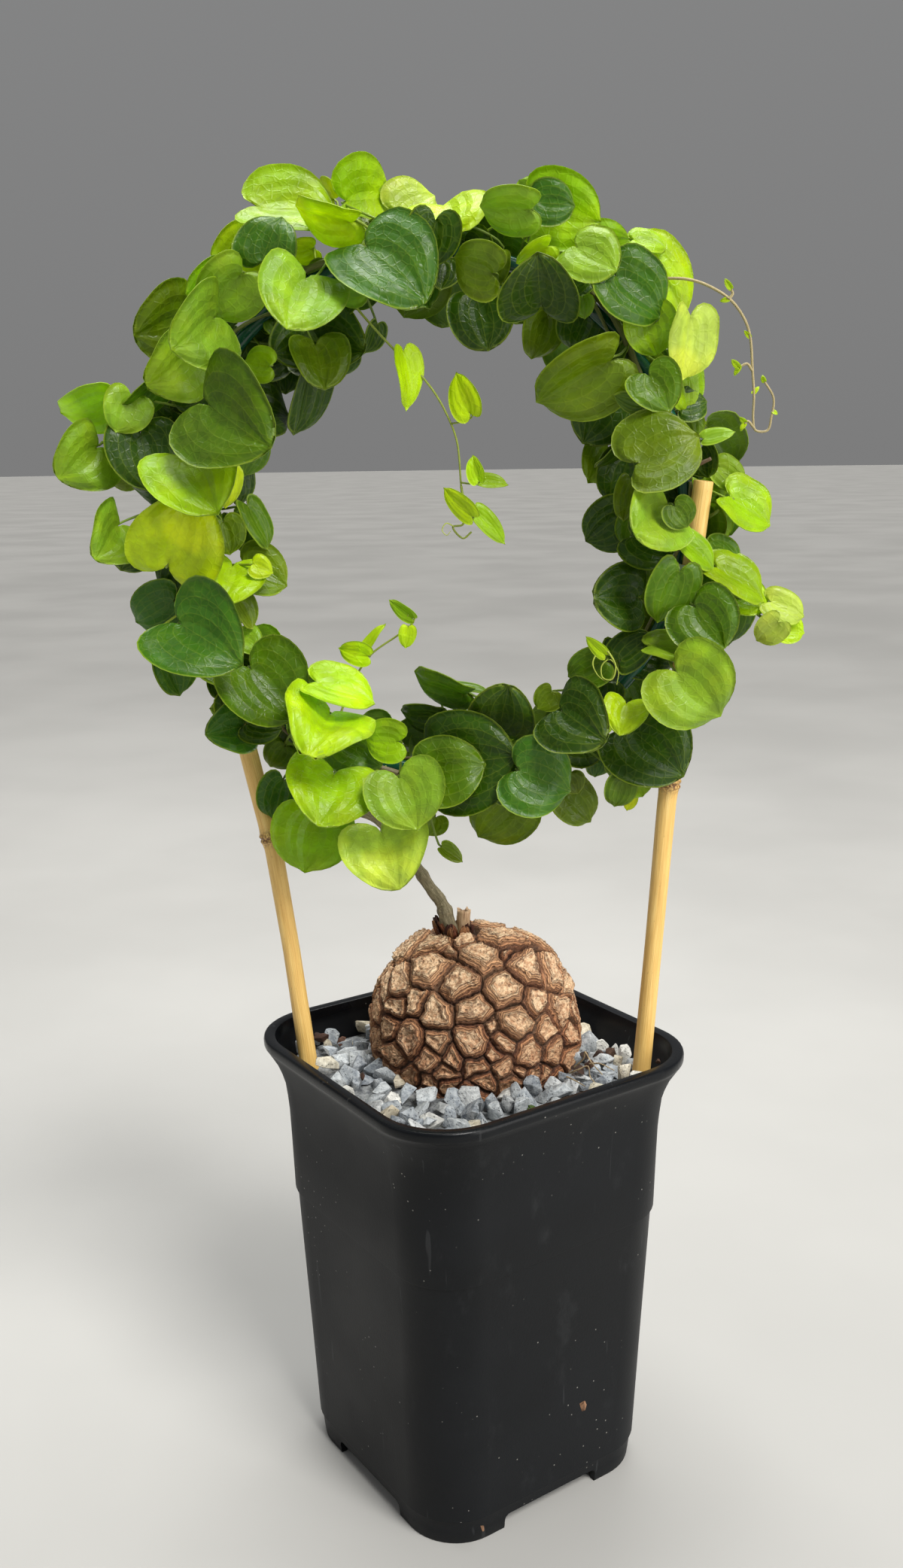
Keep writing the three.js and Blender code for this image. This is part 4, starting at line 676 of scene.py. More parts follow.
def make_gravel():
    draw = np.random.default_rng(9)
    shapes = stone_shapes(30, 4)
    skin = Skin()
    bed = [square_ring(side, corner, z) for z, side, corner in BED_PROFILE]
    skin.add(np.vstack(bed), ring_faces(len(bed), len(bed[0])), tone=colour(92, 96, 100))
    rows = 11
    stones = [(np.array(middle, float), size, tone) for middle, size, tone in CHOSEN_STONES]
    weights = [weight for weight, _ in STONE_TONES]
    for row in range(-rows, rows + 1):
        for column in range(-rows, rows + 1):
            x = (column + 0.5 * (row % 2) + draw.uniform(-0.3, 0.3)) * STONE_GRID
            y = (row * 0.87 + draw.uniform(-0.3, 0.3)) * STONE_GRID
            size = draw.choice(STONE_SIZES[0], p=STONE_SIZES[1]) * draw.uniform(0.92, 1.08)
            tone = STONE_TONES[draw.choice(len(STONE_TONES), p=weights)][1]
            level = BED_LEVEL + 0.35 * size + draw.uniform(-1, 1)
            middles = [(*TUBER_CENTRE[:2], TUBER_CLEARANCE)]
            middles += [(*foot, CANE_RADIUS + 0.6 * size) for foot in CANE_FEET]
            middles += [(*middle[:2], 0.8 * (other + size)) for middle, other, _ in CHOSEN_STONES]
            clear = all(math.dist((x, y), (a, b)) >= room for a, b, room in middles)
            if clear and in_pot(x, y, STONE_SIDE_REACH - 0.8 * size, STONE_CORNER_REACH - size):
                stones.append((np.array([x, y, level]), size, tone))
    for middle, size, tone in stones:
        points, faces = shapes[draw.integers(len(shapes))]
        turn = turned_about(draw)
        body = (points * draw.uniform(0.85, 1.15, 3)) @ turn.T * size
        shade = colour(*tone) * draw.uniform(0.82, 1.15)
        skin.add(body + middle, faces, tone=np.clip(shade, 0, 1))
    skin.piece("gravel_stones", "pumice_gravel", STONE, "gravel", sharp=STONE_SHARP)


# Bits of bark, peat and moss on the gravel and the pot: middle, size and colour.
CRUMBS = [
    ((-70, 16, 190), 4.2, (70, 42, 26)), ((-71, 18.5, 189), 3.4, (52, 32, 20)),
    ((-74, 9, 190), 2.8, (60, 38, 24)), ((-60, 14, 189.5), 2.6, (84, 52, 34)),
    ((47.5, -9, 189.5), 3.6, (62, 38, 24)), ((52, -3, 189.5), 3.2, (74, 46, 30)),
    ((57, 4, 189.5), 3.8, (56, 34, 22)), ((62, 10, 189.5), 3.0, (82, 54, 34)),
    ((50, 6, 189.5), 2.8, (46, 28, 18)), ((88, 6, 189), 3.6, (66, 42, 28)),
    ((82, 2, 189.5), 2.6, (78, 50, 32)), ((-44, -24, 189.5), 1.8, (72, 44, 28)),
    ((30, -49, 190), 2.0, (74, 104, 34)), ((31.8, -50.5, 190), 1.5, (92, 124, 40)),
    ((28.4, -50.2, 190), 1.3, (84, 112, 36)),
]
ROOTLETS = [
    [(44, -14, 190), (48, -18, 193.5), (52, -20, 196), (53, -22, 192), (56, -25, 190)],
    [(46, -10, 191), (50, -13, 196.5), (50.5, -14, 200), (53, -17, 197), (58, -18, 191.5)],
    [(52, -4, 190), (57, -9, 192.5), (63, -12, 191)], [(43, -18, 190), (46, -24, 191.5), (51, -28, 190.5)],
]
# Flakes that stick to the pot's wall: middle, turn of the wall there in degrees, length.
FLAKES = [((51.8, -60.4, 62.3), -49, 5.4), ((11.2, -80.4, 16.9), -86, 3.4)]


def make_crumbs():
    draw = np.random.default_rng(12)
    shapes = stone_shapes(12, 15)
    skin = Skin()
    for middle, size, tone in CRUMBS:
        points, faces = shapes[draw.integers(len(shapes))]
        body = (points * draw.uniform(0.6, 1.1, 3)) @ turned_about(draw).T * size
        skin.add(body + np.array(middle), faces, tone=colour(*tone))
    for path in ROOTLETS:
        points, faces, _ = tube(spline(path, 24), np.linspace(0.42, 0.2, 24), 6)
        skin.add(points, faces, tone=colour(196, 172, 132))
    for middle, turn, length in FLAKES:
        points, faces = shapes[draw.integers(len(shapes))]
        angle = math.radians(turn)
        outward = np.array([math.cos(angle), math.sin(angle), 0])
        across = np.array([-math.sin(angle), math.cos(angle), 0])
        flat = points[:, :1] * 0.22 * outward + points[:, 1:2] * 0.34 * across
        body = (flat + points[:, 2:] * [0, 0, 0.62]) * length
        skin.add(body + np.array(middle), faces, tone=colour(156, 116, 86))
    skin.piece("peat_crumbs", "potting_soil", DRY, sharp=STONE_SHARP)


# Tuber

TUBER_RADIUS = 47
TUBER_RISE = 49
TUBER_DEPTH = 36
TUBER_SQUARENESS = 2.2
# The plates that show from the front, read from an enlarged picture of the tuber: across and
# down to the plate's middle, half its width and height, all in pixels of that enlarged picture, and how
# far its top stands proud of the smooth form, in millimetres.
FRONT_PLATES = [
    (880, 165, 165, 95, 2.6), (735, 285, 150, 100, 2.2), (405, 350, 140, 120, 1.6),
    (600, 445, 150, 105, 1.6), (1050, 350, 110, 150, 2.0), (1215, 400, 80, 150, 1.2),
    (905, 500, 140, 105, 1.4), (318, 588, 72, 72, 1.0), (442, 672, 115, 100, 1.4),
    (690, 640, 118, 100, 1.4), (975, 725, 148, 92, 1.4), (1100, 585, 70, 80, 0.8),
    (195, 470, 75, 85, 0.6), (175, 625, 75, 90, 0.4), (140, 760, 70, 85, 0.2), (268, 840, 92, 150, 0.6),
    (680, 848, 150, 95, 0.2), (445, 865, 90, 80, 0.2), (905, 850, 80, 80, 0.2), (172, 945, 66, 110, -0.1),
    (388, 968, 92, 90, 0.0), (562, 950, 85, 72, -0.1), (835, 935, 60, 60, -0.2),
    (1060, 930, 95, 105, 0.1), (1185, 780, 75, 80, 0.2), (1275, 640, 95, 110, 0.6),
    (1225, 935, 75, 110, 0.0), (715, 1025, 90, 60, -0.2), (890, 1030, 85, 60, -0.2),
    (490, 1070, 140, 35, -0.4), (265, 1085, 90, 50, -0.4), (1010, 1065, 55, 50, -0.4),
    (1090, 1080, 60, 45, -0.4), (50, 620, 50, 110, 0.2), (45, 850, 50, 100, 0.0),
    (70, 1000, 55, 60, -0.3), (1310, 470, 60, 110, 0.6), (1355, 640, 45, 90, 0.3),
    (1345, 800, 55, 90, 0.1), (1330, 960, 60, 70, -0.2), (520, 1150, 110, 40, -0.6),
    (760, 1120, 110, 50, -0.5), (960, 1130, 90, 45, -0.6), (500, 250, 60, 45, 1.0),
    (620, 190, 50, 50, 0.4), (960, 270, 60, 50, 0.8), (1300, 330, 50, 60, 0.6), (395, 1130, 70, 40, -0.6),
    (1180, 1060, 60, 50, -0.4), (780, 765, 50, 40, 0.0), (105, 520, 45, 80, 0.2),
]
# The enlarged picture: its left and top edge in a smaller copy of the full frame, and its enlargement.
CLOSE_UP_LEFT, CLOSE_UP_TOP = 240, 595
CLOSE_UP_ZOOM = 10
SMALL_WIDTH, SMALL_HEIGHT = 590, 1024
PLATE_PLANE_Y = -6
# A plate's reach to its fissures, in millimetres for each pixel of the smaller copy.
PLATE_REACH = 0.67
CROWN = np.array([-9, 15.5, 240])
CROWN_REACH = 6.0
CROWN_SINK = -4.5
# Places tried for the plates that don't show from the front, and the room that each one needs.
PLATE_PLACES = 112
PLATE_ROOM = 4.6
BURIED_PLATE_ROOM = 16
BALL_STEPS = 126
# Thickness of the cork layers that show on the plates' sides.
LAYER = 1.3
FISSURE_DEPTH = 3.0
CROWN_FISSURE_DEPTH = 2.4


def tuber_reach(directions):
    """How far the tuber's smooth form reaches from its centre."""
    flat = np.hypot(directions[..., 0], directions[..., 1]) / TUBER_RADIUS
    depth = np.where(directions[..., 2] > 0, TUBER_RISE, TUBER_DEPTH)
    tall = np.abs(directions[..., 2]) / depth
    return (flat ** TUBER_SQUARENESS + tall ** TUBER_SQUARENESS) ** (-1 / TUBER_SQUARENESS)


def seen_on_tuber(x, z):
    """Where the line of sight to a place just in front of the tuber meets it."""
    sight = unit(np.array([x, PLATE_PLANE_Y, z]) - EYE)
    offsets = EYE + sight * np.arange(500, 720)[:, None] - TUBER_CENTRE
    lengths = np.linalg.norm(offsets, axis=1)
    directions = offsets / lengths[:, None]
    excess = lengths - tuber_reach(directions)
    inside = np.nonzero(excess < 0)[0]
    return directions[inside[0] if len(inside) else np.argmin(excess)]


def front_plate(across, down, half_width, half_height, rise):
    """Direction, reach and rise of a plate from its place in the enlarged picture, to a tenth of a mm."""
    column = (CLOSE_UP_LEFT + across / CLOSE_UP_ZOOM) * IMAGE_WIDTH / SMALL_WIDTH
    row = (CLOSE_UP_TOP + down / CLOSE_UP_ZOOM) * IMAGE_HEIGHT / SMALL_HEIGHT
    sight = CAMERA_RIGHT * (column - IMAGE_WIDTH / 2) - CAMERA_UP * (row - IMAGE_HEIGHT / 2)
    sight = sight - np.cross(CAMERA_RIGHT, CAMERA_UP) * FOCAL_LENGTH
    x, _, z = CAMERA_PLACE + sight * (PLATE_PLANE_Y - CAMERA_PLACE[1]) / sight[1]
    reach = PLATE_REACH * math.sqrt(half_width * half_height) / CLOSE_UP_ZOOM
    return seen_on_tuber(round(x, 1), round(z, 1)), round(reach, 1), rise


def plate_seeds():
    """Directions of the plates' middles, their reach and the rise of their tops."""
    seeds = [front_plate(*row) for row in FRONT_PLATES]
    seeds.append((unit(CROWN - TUBER_CENTRE), CROWN_REACH, CROWN_SINK))
    draw = random_from(7)
    golden = math.pi * (3 - math.sqrt(5))
    for i in range(PLATE_PLACES):
        up = 1 - 2 * (i + 0.5) / PLATE_PLACES
        turn = golden * i + 0.5 * draw()
        flat = math.sqrt(1 - up * up)
        direction = np.array([flat * math.cos(turn), flat * math.sin(turn), up])
        size, rise = 5.4 + 2.6 * draw() + 1.6 * max(0, up), 1.8 * draw() * max(0, up) + 0.2
        apart = min(np.linalg.norm(seed - direction) * TUBER_RADIUS - reach for seed, reach, _ in seeds)
        if apart > (BURIED_PLATE_ROOM if up < -0.5 else PLATE_ROOM):
            seeds.append((direction, size, rise))
    return (np.array(part) for part in zip(*seeds))


def ball(steps):
    """Directions and faces of a ball with evenly spread squares."""
    line = np.tan(np.linspace(-1, 1, steps + 1) * math.pi / 4)
    across, up = np.meshgrid(line, line)
    one = np.ones_like(across)
    sides = []
    for axis in range(3):
        for sign in (1, -1):
            parts = [across, up if sign > 0 else -up]
            parts.insert(axis, sign * one)
            sides.append(np.stack(parts, -1).reshape(-1, 3))
    points = np.vstack(sides)
    points /= np.linalg.norm(points, axis=1)[:, None]
    _, first, same = np.unique(points.round(6), axis=0, return_index=True, return_inverse=True)
    same = same.reshape(-1)
    faces = []
    for number in range(6):
        start = number * (steps + 1) ** 2
        grid = same[start:start + (steps + 1) ** 2].reshape(steps + 1, steps + 1)
        squares = np.stack([grid[:-1, :-1], grid[:-1, 1:], grid[1:, 1:], grid[1:, :-1]], -1).reshape(-1, 4)
        faces.append(squares)
    faces = np.vstack(faces)
    points = points[first]
    corners = points[faces]
    facing = np.cross(corners[:, 1] - corners[:, 0], corners[:, 2] - corners[:, 1])
    inward = np.einsum("ij,ij->i", facing, corners.mean(1)) < 0
    faces[inward] = faces[inward][:, ::-1]
    return points, faces


def rough(points, scale, seed, octaves=1):
    """Smooth noise at the points, about -1 to 1."""
    total = np.zeros(len(points))
    for octave in range(octaves):
        step = 2 ** octave
        moved = points * (scale * step) + seed * 7.3
        total += np.array([noise.noise(Vector(point)) for point in moved]) / step
    return total


def nearest_plate(points, seeds, reach):
    """For each direction: its plate, and how many millimetres it lies inside that plate's fissures."""
    apart = np.linalg.norm(points[:, None, :] - seeds[None, :, :], axis=2) * TUBER_RADIUS
    power = apart ** 2 - reach ** 2
    order = np.argpartition(power, 1, axis=1)[:, :2]
    near = np.take_along_axis(power, order, axis=1)
    swap = near[:, 0] > near[:, 1]
    order[swap] = order[swap][:, ::-1]
    near.sort(axis=1)
    own, other = order.T
    between = np.linalg.norm(seeds[own] - seeds[other], axis=1) * TUBER_RADIUS
    return own, (near[:, 1] - near[:, 0]) / (2 * between)


def make_tuber():
    seeds, reach, rise = plate_seeds()
    points, faces = ball(BALL_STEPS)
    points = points + [0, 0, 0.36]
    points /= np.linalg.norm(points, axis=1)[:, None]
    bend = np.column_stack([rough(points, 7, seed, 3) for seed in (1, 2, 3)])
    bent = points + 0.028 * bend
    bent /= np.linalg.norm(bent, axis=1)[:, None]
    plate, gap = nearest_plate(bent, seeds, reach)
    swirl = rough(points, 24, 5, 2)
    gap = np.maximum(0, gap + 0.22 * swirl * smoothstep(0.2, 1.2, gap))
    edge = np.clip(gap / reach[plate], 0, 1)
    draw = np.random.default_rng(3)
    tilt = draw.normal(size=(len(seeds), 3)) * 4.5
    dish, shade = draw.uniform(-0.1, 1.5, len(seeds)), draw.uniform(0, 1, len(seeds))
    lean = np.einsum("ij,ij->i", bent - seeds[plate], tilt[plate])
    steps = gap / LAYER + 2 * shade[plate]
    whole = np.floor(steps)
    stair = (whole + smoothstep(0.5, 0.95, steps - whole) - 2 * shade[plate]) * LAYER
    high = smoothstep(198, 236, TUBER_CENTRE[2] + points[:, 2] * TUBER_RISE)
    depth = FISSURE_DEPTH + CROWN_FISSURE_DEPTH * high
    wall = smoothstep(0.1, 0.56, gap)
    side = np.clip((stair - 0.3) / ((0.26 + 0.16 * high) * reach[plate]), 0, 1)
    top = smoothstep(0.34, 0.46, edge)
    cracks = np.empty(len(points))
    for i, point in enumerate(points * 10.5 + bend * 0.35):
        (first, second, *_), _ = noise.voronoi(Vector(point))
        cracks[i] = second - first
    pits = rough(points, 40, 8, 2)
    proud = rise[plate] * (0.35 + 0.65 * side) - 0.5 * depth * (1 - side) + 0.8 * lean
    proud += (0.3 + 0.4 * top) * rough(points, 19, 11, 3) - dish[plate] * smoothstep(0.42, 0.75, edge)
    proud -= 0.5 * top * (1 - smoothstep(0.0, 0.1, cracks)) + 0.8 * top * smoothstep(0.15, 0.7, pits)
    lift = np.clip(wall * proud - depth * (1 - wall), -7, 3)
    skin = Skin()
    body = TUBER_CENTRE + points * (tuber_reach(points) + lift)[:, None]
    skin.add(body, faces, edge=edge, gap=gap, plate=shade[plate], crack=np.where(top > 0.3, cracks, 1))
    skin.piece("tuber_cork", "caudex_cork", CORK, "caudex")


# Stem, stub, hoop, canes and ties

MAIN_STEM = [
    (-7.4, 15, 230), (-8.8, 15, 238), (-10.4, 15, 244.5), (-13.2, 14, 255.5), (-18.2, 13.3, 262.9),
    (-23.1, 12, 271.4), (-39.3, 10, 293.4), (-50.7, 8.7, 300.3), (-63, 8.2, 312.8), (-70.5, 7.8, 323),
    (-73.4, 6.6, 332), (-73.6, 5.7, 337.7), (-76.2, 5.4, 339.8),
]
# Places along the stem, from 0 to 1, of old leaf joints.
STEM_JOINTS = [0.17, 0.31, 0.46, 0.6, 0.74, 0.87]
STEM_RINGS, STEM_SIDES = 150, 20
STUB = [(-3.8, 19, 229), (-4.6, 18.4, 241), (-4, 18.2, 251.5)]
STUB_RINGS, STUB_SIDES = 22, 18
# Rings that sink into a bar's end: their scale, lift and darkness, which is painted shade in the hollow end.
STUB_END = [(0.5, -0.3, 0.5), (0.32, -2.4, 1)]
CANE_END = [(0.92, 0.3, 0), (0.5, 0.1, 0.15), (0.4, -3.2, 1)]
SCALE_TONES = [(118, 62, 36), (88, 42, 24), (142, 84, 50), (70, 34, 20), (164, 112, 70)]


def uneven(points, path, sides, scale, seed, share):
    """A bar's points with its sides swelling and shrinking, and the noise that moved them."""
    middles = np.repeat(path, sides, axis=0)
    wobble = rough(points * 0.01, scale, seed, 2)
    return middles + (points - middles) * (1 + share * wobble)[:, None], wobble


def with_end(points, middle, up, sides, end):
    """A bar's points with the rings that sink into its end, and how dark each point is painted, as shade in
    the hollow end.
    """
    rim = points[-sides:]
    rings = [middle + (rim - middle) * scale + up * lift for scale, lift, _ in end]
    dark = np.repeat([0] + [part for _, _, part in end], [len(points)] + [sides] * len(end))
    return np.vstack([points] + rings), dark


def make_stem():
    path = spline(MAIN_STEM, STEM_RINGS)
    part = np.linspace(0, 1, STEM_RINGS)
    radii = 3.1 - 1.5 * np.minimum(1, part / 0.83)
    radii = radii + 0.9 * (1 - smoothstep(0.03, 0.28, part))
    for joint in STEM_JOINTS:
        radii = radii + 0.5 * np.exp(-((part - joint) / 0.012) ** 2)
        radii = radii - 0.16 * np.exp(-((part - joint - 0.022) / 0.01) ** 2)
    points, faces, grain = tube(path, radii, STEM_SIDES)
    young = np.repeat(smoothstep(0.45, 1, part), STEM_SIDES)
    skin = Skin()
    skin.add(uneven(points, path, STEM_SIDES, 42, 4, 0.09)[0], faces, grain=grain, young=young)
    skin.piece("stem_bark", "stem_wood", BARK, "main_stem")


def make_stub():
    path = spline(STUB, STUB_RINGS)
    points, _, grain = tube(path, 2.7 + np.linspace(0, 0.35, STUB_RINGS), STUB_SIDES)
    points, ragged = uneven(points, path, STUB_SIDES, 60, 9, 0.12)
    points[-STUB_SIDES:, 2] += 1.8 * ragged[-STUB_SIDES:]
    points, core = with_end(points, path[-1], np.array([0, 0, 1]), STUB_SIDES, STUB_END)
    grain = np.vstack([grain] + [grain[-STUB_SIDES:]] * len(STUB_END))
    skin = Skin()
    skin.add(points, ring_faces(STUB_RINGS + len(STUB_END), STUB_SIDES), grain=grain, core=core)
    skin.piece("stub_wood", "dry_stem", STUB_WOOD, "old_stem_stub")


def make_scales():
    """Dry scales in the crown of the tuber, round the foot of the stem."""
    draw = np.random.default_rng(31)
    skin = Skin()
    for i in range(34):
        turn = i * 2.4 + draw.uniform(-0.3, 0.3)
        outward = np.array([math.cos(turn), math.sin(turn), 0])
        spread = draw.uniform(1.8, 7.2)
        foot = np.array([-8.6, 15.6, 240.6 - 0.1 * spread]) + outward * spread
        along = unit(outward * draw.uniform(0.1, 0.9) + [0, 0, draw.uniform(0.5, 1.2)])
        width = draw.uniform(2.4, 4.6)
        across, face = turned(along, outward + [0, 0, 0.3], draw.uniform(-0.6, 0.6))
        leaf = Leaf(foot, along, across, face, draw.uniform(4.5, 9), width)
        tone = colour(*SCALE_TONES[draw.integers(len(SCALE_TONES))])
        blade(skin, leaf, YOUNG_OUTLINE, draw, tone, curl=-0.5, thick=0.35)
    skin.piece("crown_scales", "dry_stem", DRY)


HOOP_CENTRE = np.array([-14.6, 0, 422.4])
HOOP_RADIUS = 103.3
HOOP_WIRE = 3
CANE_LEFT = [
    (-53.5, 2, 65), (-72.5, -1.3, 187.5), (-77.6, -3.4, 239.3), (-83.2, -5.1, 285), (-91.2, -6.4, 323.7),
    (-107.3, -8.3, 396.6), (-114.3, -9.2, 431.6),
]
CANE_RIGHT = [
    (64, -3, 75), (74.8, -0.5, 187.5), (78.8, -1.8, 242.9), (83.2, -3.6, 307.5), (85.5, -4.4, 328.3),
    (90.9, -6.1, 403.2), (94.7, -7, 436.8),
]
CANE_SIDES = 28
# A tie's section, outwards from what it holds and upwards.
TIE_SECTION = [
    (0.25, -1.45), (0.85, -1.45), (1.1, -1.15), (1.1, 1.15), (0.85, 1.45), (0.25, 1.45), (0.05, 1.2),
    (0.05, -1.2),
]
TIE_STEPS = 64
TIE_SLACK = 0.5


def make_hoop():
    rings, sides = 150, 18
    turns = TAU * np.arange(rings) / rings
    outward = np.column_stack([np.cos(turns), np.zeros(rings), np.sin(turns)])
    angles = TAU * np.arange(sides) / sides
    reach = HOOP_RADIUS + HOOP_WIRE * np.cos(angles)
    points = HOOP_CENTRE + outward[:, None, :] * reach[None, :, None]
    points = points + np.array([0, 1, 0]) * (HOOP_WIRE * np.sin(angles))[None, :, None]
    skin = Skin()
    skin.add(points.reshape(-1, 3), ring_faces(rings, sides, closed=True))
    skin.piece("hoop_wire", "hoop_coating", GREEN_COATING, "hoop")


def at_height(path, z):
    path = np.array(path, float)
    return np.array([np.interp(z, path[:, 2], path[:, axis]) for axis in range(2)] + [z])


def make_cane(name, path, knot, node):
    low, high = path[0][2], path[-1][2]
    heights = np.unique(np.concatenate([np.linspace(low, high, 90), knot + np.linspace(-7, 7, 43)]))
    line = np.array([at_height(path, z) for z in heights])
    away = heights - knot
    radii = 3.82 + 0.1 * np.sin(heights * 0.045) + 0.55 * np.exp(-((away / 3.4) ** 2))
    radii = radii + 0.42 * np.exp(-(((away - 1.1) / 0.55) ** 2)) + 0.34 * np.exp(-(((away + 1.3) / 0.6) ** 2))
    radii = radii - 0.3 * np.exp(-(((away + 0.1) / 0.35) ** 2))
    points, _, grain = tube(line, radii, CANE_SIDES)
    points, core = with_end(points, line[-1], unit(line[-1] - line[-2]), CANE_SIDES, CANE_END)
    knots = np.repeat(np.exp(-((away / 3.2) ** 2)), CANE_SIDES)
    knots = np.concatenate([knots, np.zeros(len(CANE_END) * CANE_SIDES)])
    grain = np.vstack([grain] + [grain[-CANE_SIDES:]] * len(CANE_END))
    skin = Skin()
    skin.add(points, ring_faces(len(line) + len(CANE_END), CANE_SIDES), grain=grain, knot=knots, core=core)
    skin.piece(name, "bamboo", BAMBOO, node)


def hoop_at_height(z, side):
    rise = z - HOOP_CENTRE[2]
    return np.array([HOOP_CENTRE[0] + side * math.sqrt(HOOP_RADIUS ** 2 - rise ** 2), 0, z])


def make_tie(name, cane, z, side, node):
    """A flat band with round edges, round the hoop and the cane beside it."""
    wire, pole = hoop_at_height(z, side), at_height(cane, z)
    lean = math.atan((hoop_at_height(z + 5, side)[0] - hoop_at_height(z - 5, side)[0]) / 10)
    middle = (wire + pole) / 2
    turn = math.atan2(pole[1] - wire[1], pole[0] - wire[0])
    half = np.linalg.norm(pole - wire) / 2
    placing = Matrix.Rotation(lean, 3, "Y") @ Matrix.Rotation(turn, 3, "Z")
    points = []
    for angle in TAU * np.arange(TIE_STEPS) / TIE_STEPS:
        direction = np.array([math.cos(angle), math.sin(angle)])
        at_pole = smoothstep(-0.25, 0.25, direction[0])
        centre = half * (2 * at_pole - 1)
        reach = (HOOP_WIRE + TIE_SLACK) * (1 - at_pole) + (CANE_RADIUS + TIE_SLACK) * at_pole
        for out, up in TIE_SECTION:
            flat = direction * (reach + out) + [centre, 0]
            points.append(np.array(placing @ Vector((flat[0], flat[1], up))) + middle)
    skin = Skin()
    skin.add(np.array(points), ring_faces(TIE_STEPS, len(TIE_SECTION), closed=True))
    skin.piece(name, "tie_film", FILM, node, sharp=math.radians(50))


# Vine

STRETCHES = 8
STRETCH_START = math.radians(233)
STRETCH_ANGLE = TAU / STRETCHES
TIE_ANGLES = [math.radians(-10.8), math.radians(194.8)]
WINDING = np.array([
    (233, 200), (262, 290), (300, 450), (322, 455), (372, 480), (400, 630), (430, 810), (462, 990),
    (495, 1170), (535, 1195), (593, 1180),
])
SIDE_SHOOTS = [
    (6, [(-118, 2, 452), (-130, -2, 463), (-146, -4, 467)]),
    (6, [(-118, 4, 440), (-131, 0, 446), (-148, -3, 455)]),
    (2, [(93, 4, 421), (99, -3, 424), (107, -2, 430)]),
    (2, [(92, 4.5, 409), (103, -2, 398), (112, -3, 389), (121, -4, 382)]),
]


def beside_hoop(angle, distance, turn):
    """Angle round the ring, distance from the wire's middle, and turn about the wire from outward."""
    outward = np.array([math.cos(angle), 0, math.sin(angle)])
    point = HOOP_CENTRE + outward * (HOOP_RADIUS + distance * math.cos(turn))
    return point + [0, distance * math.sin(turn), 0]


def past_start(angle):
    return (angle - STRETCH_START) % TAU


def vine_turn(angle):
    degrees = math.degrees(STRETCH_START + past_start(angle))
    return math.radians(np.interp(degrees, WINDING[:, 0], WINDING[:, 1]))


def vine_distance(angle):
    away = [math.atan2(math.sin(angle - tie), math.cos(angle - tie)) for tie in TIE_ANGLES]
    return 4.95 + 1.9 * sum(math.exp(-((part / 0.14) ** 2)) for part in away)


def vine_point(angle):
    return beside_hoop(angle, vine_distance(angle), vine_turn(angle))


def stretch_of(point):
    angle = math.atan2(point[2] - HOOP_CENTRE[2], point[0] - HOOP_CENTRE[0])
    past = past_start(angle)
    return int(past / STRETCH_ANGLE), STRETCH_START + past


# Leaves

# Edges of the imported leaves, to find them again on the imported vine, and the finer edges drawn here:
# across and along, in half widths from the notch.
BROAD_EDGE = [(0.5, -0.36), (0.98, 0.05), (0.98, 0.65), (0.5, 1.2)]
PLAIN_EDGE = [(0.62, -0.34), (1, 0.35), (0.62, 1.1)]
YOUNG_EDGE = [(0.8, -0.08), (0.86, 0.72)]
LEAF_OUTLINE = [
    (0, 0), (0.09, -0.17), (0.28, -0.35), (0.55, -0.41), (0.82, -0.27), (0.99, 0.03), (1.04, 0.38),
    (0.99, 0.72), (0.84, 1.02), (0.6, 1.25), (0.33, 1.38), (0.12, 1.43), (0.03, 1.48), (0, 1.52),
]
YOUNG_OUTLINE = [
    (0, 0), (0.2, -0.16), (0.5, -0.22), (0.8, -0.06), (0.96, 0.26), (0.93, 0.62), (0.77, 0.95), (0.52, 1.22),
    (0.24, 1.37), (0.06, 1.44), (0, 1.52),
]
TIP_ALONG = 1.5
CUP = 0.34
DROOP = 0.1
EDGE_STEPS = 16
COLUMNS = np.array([0.2, 0.42, 0.64, 0.84, 1])
STALK_RADIUS = 0.65
PACKED_HALF = 0.4
VINE_STEPS = 60
SHOOT_STEPS = 24
BACK_LEAVES = 26

LIME = (152, 192, 6)
YELLOW = (196, 222, 14)
BRIGHT = (186, 220, 4)
TEAL = (64, 112, 22)
# The pale and whitish tones are partly the leaves' own pale green and partly painted sheen.
PALE_AND_SHEEN = (142, 182, 42)
WHITISH_AND_SHEEN = (190, 214, 84)
OLIVE = (106, 134, 6)
DARK = (52, 86, 3)
MID = (86, 126, 6)

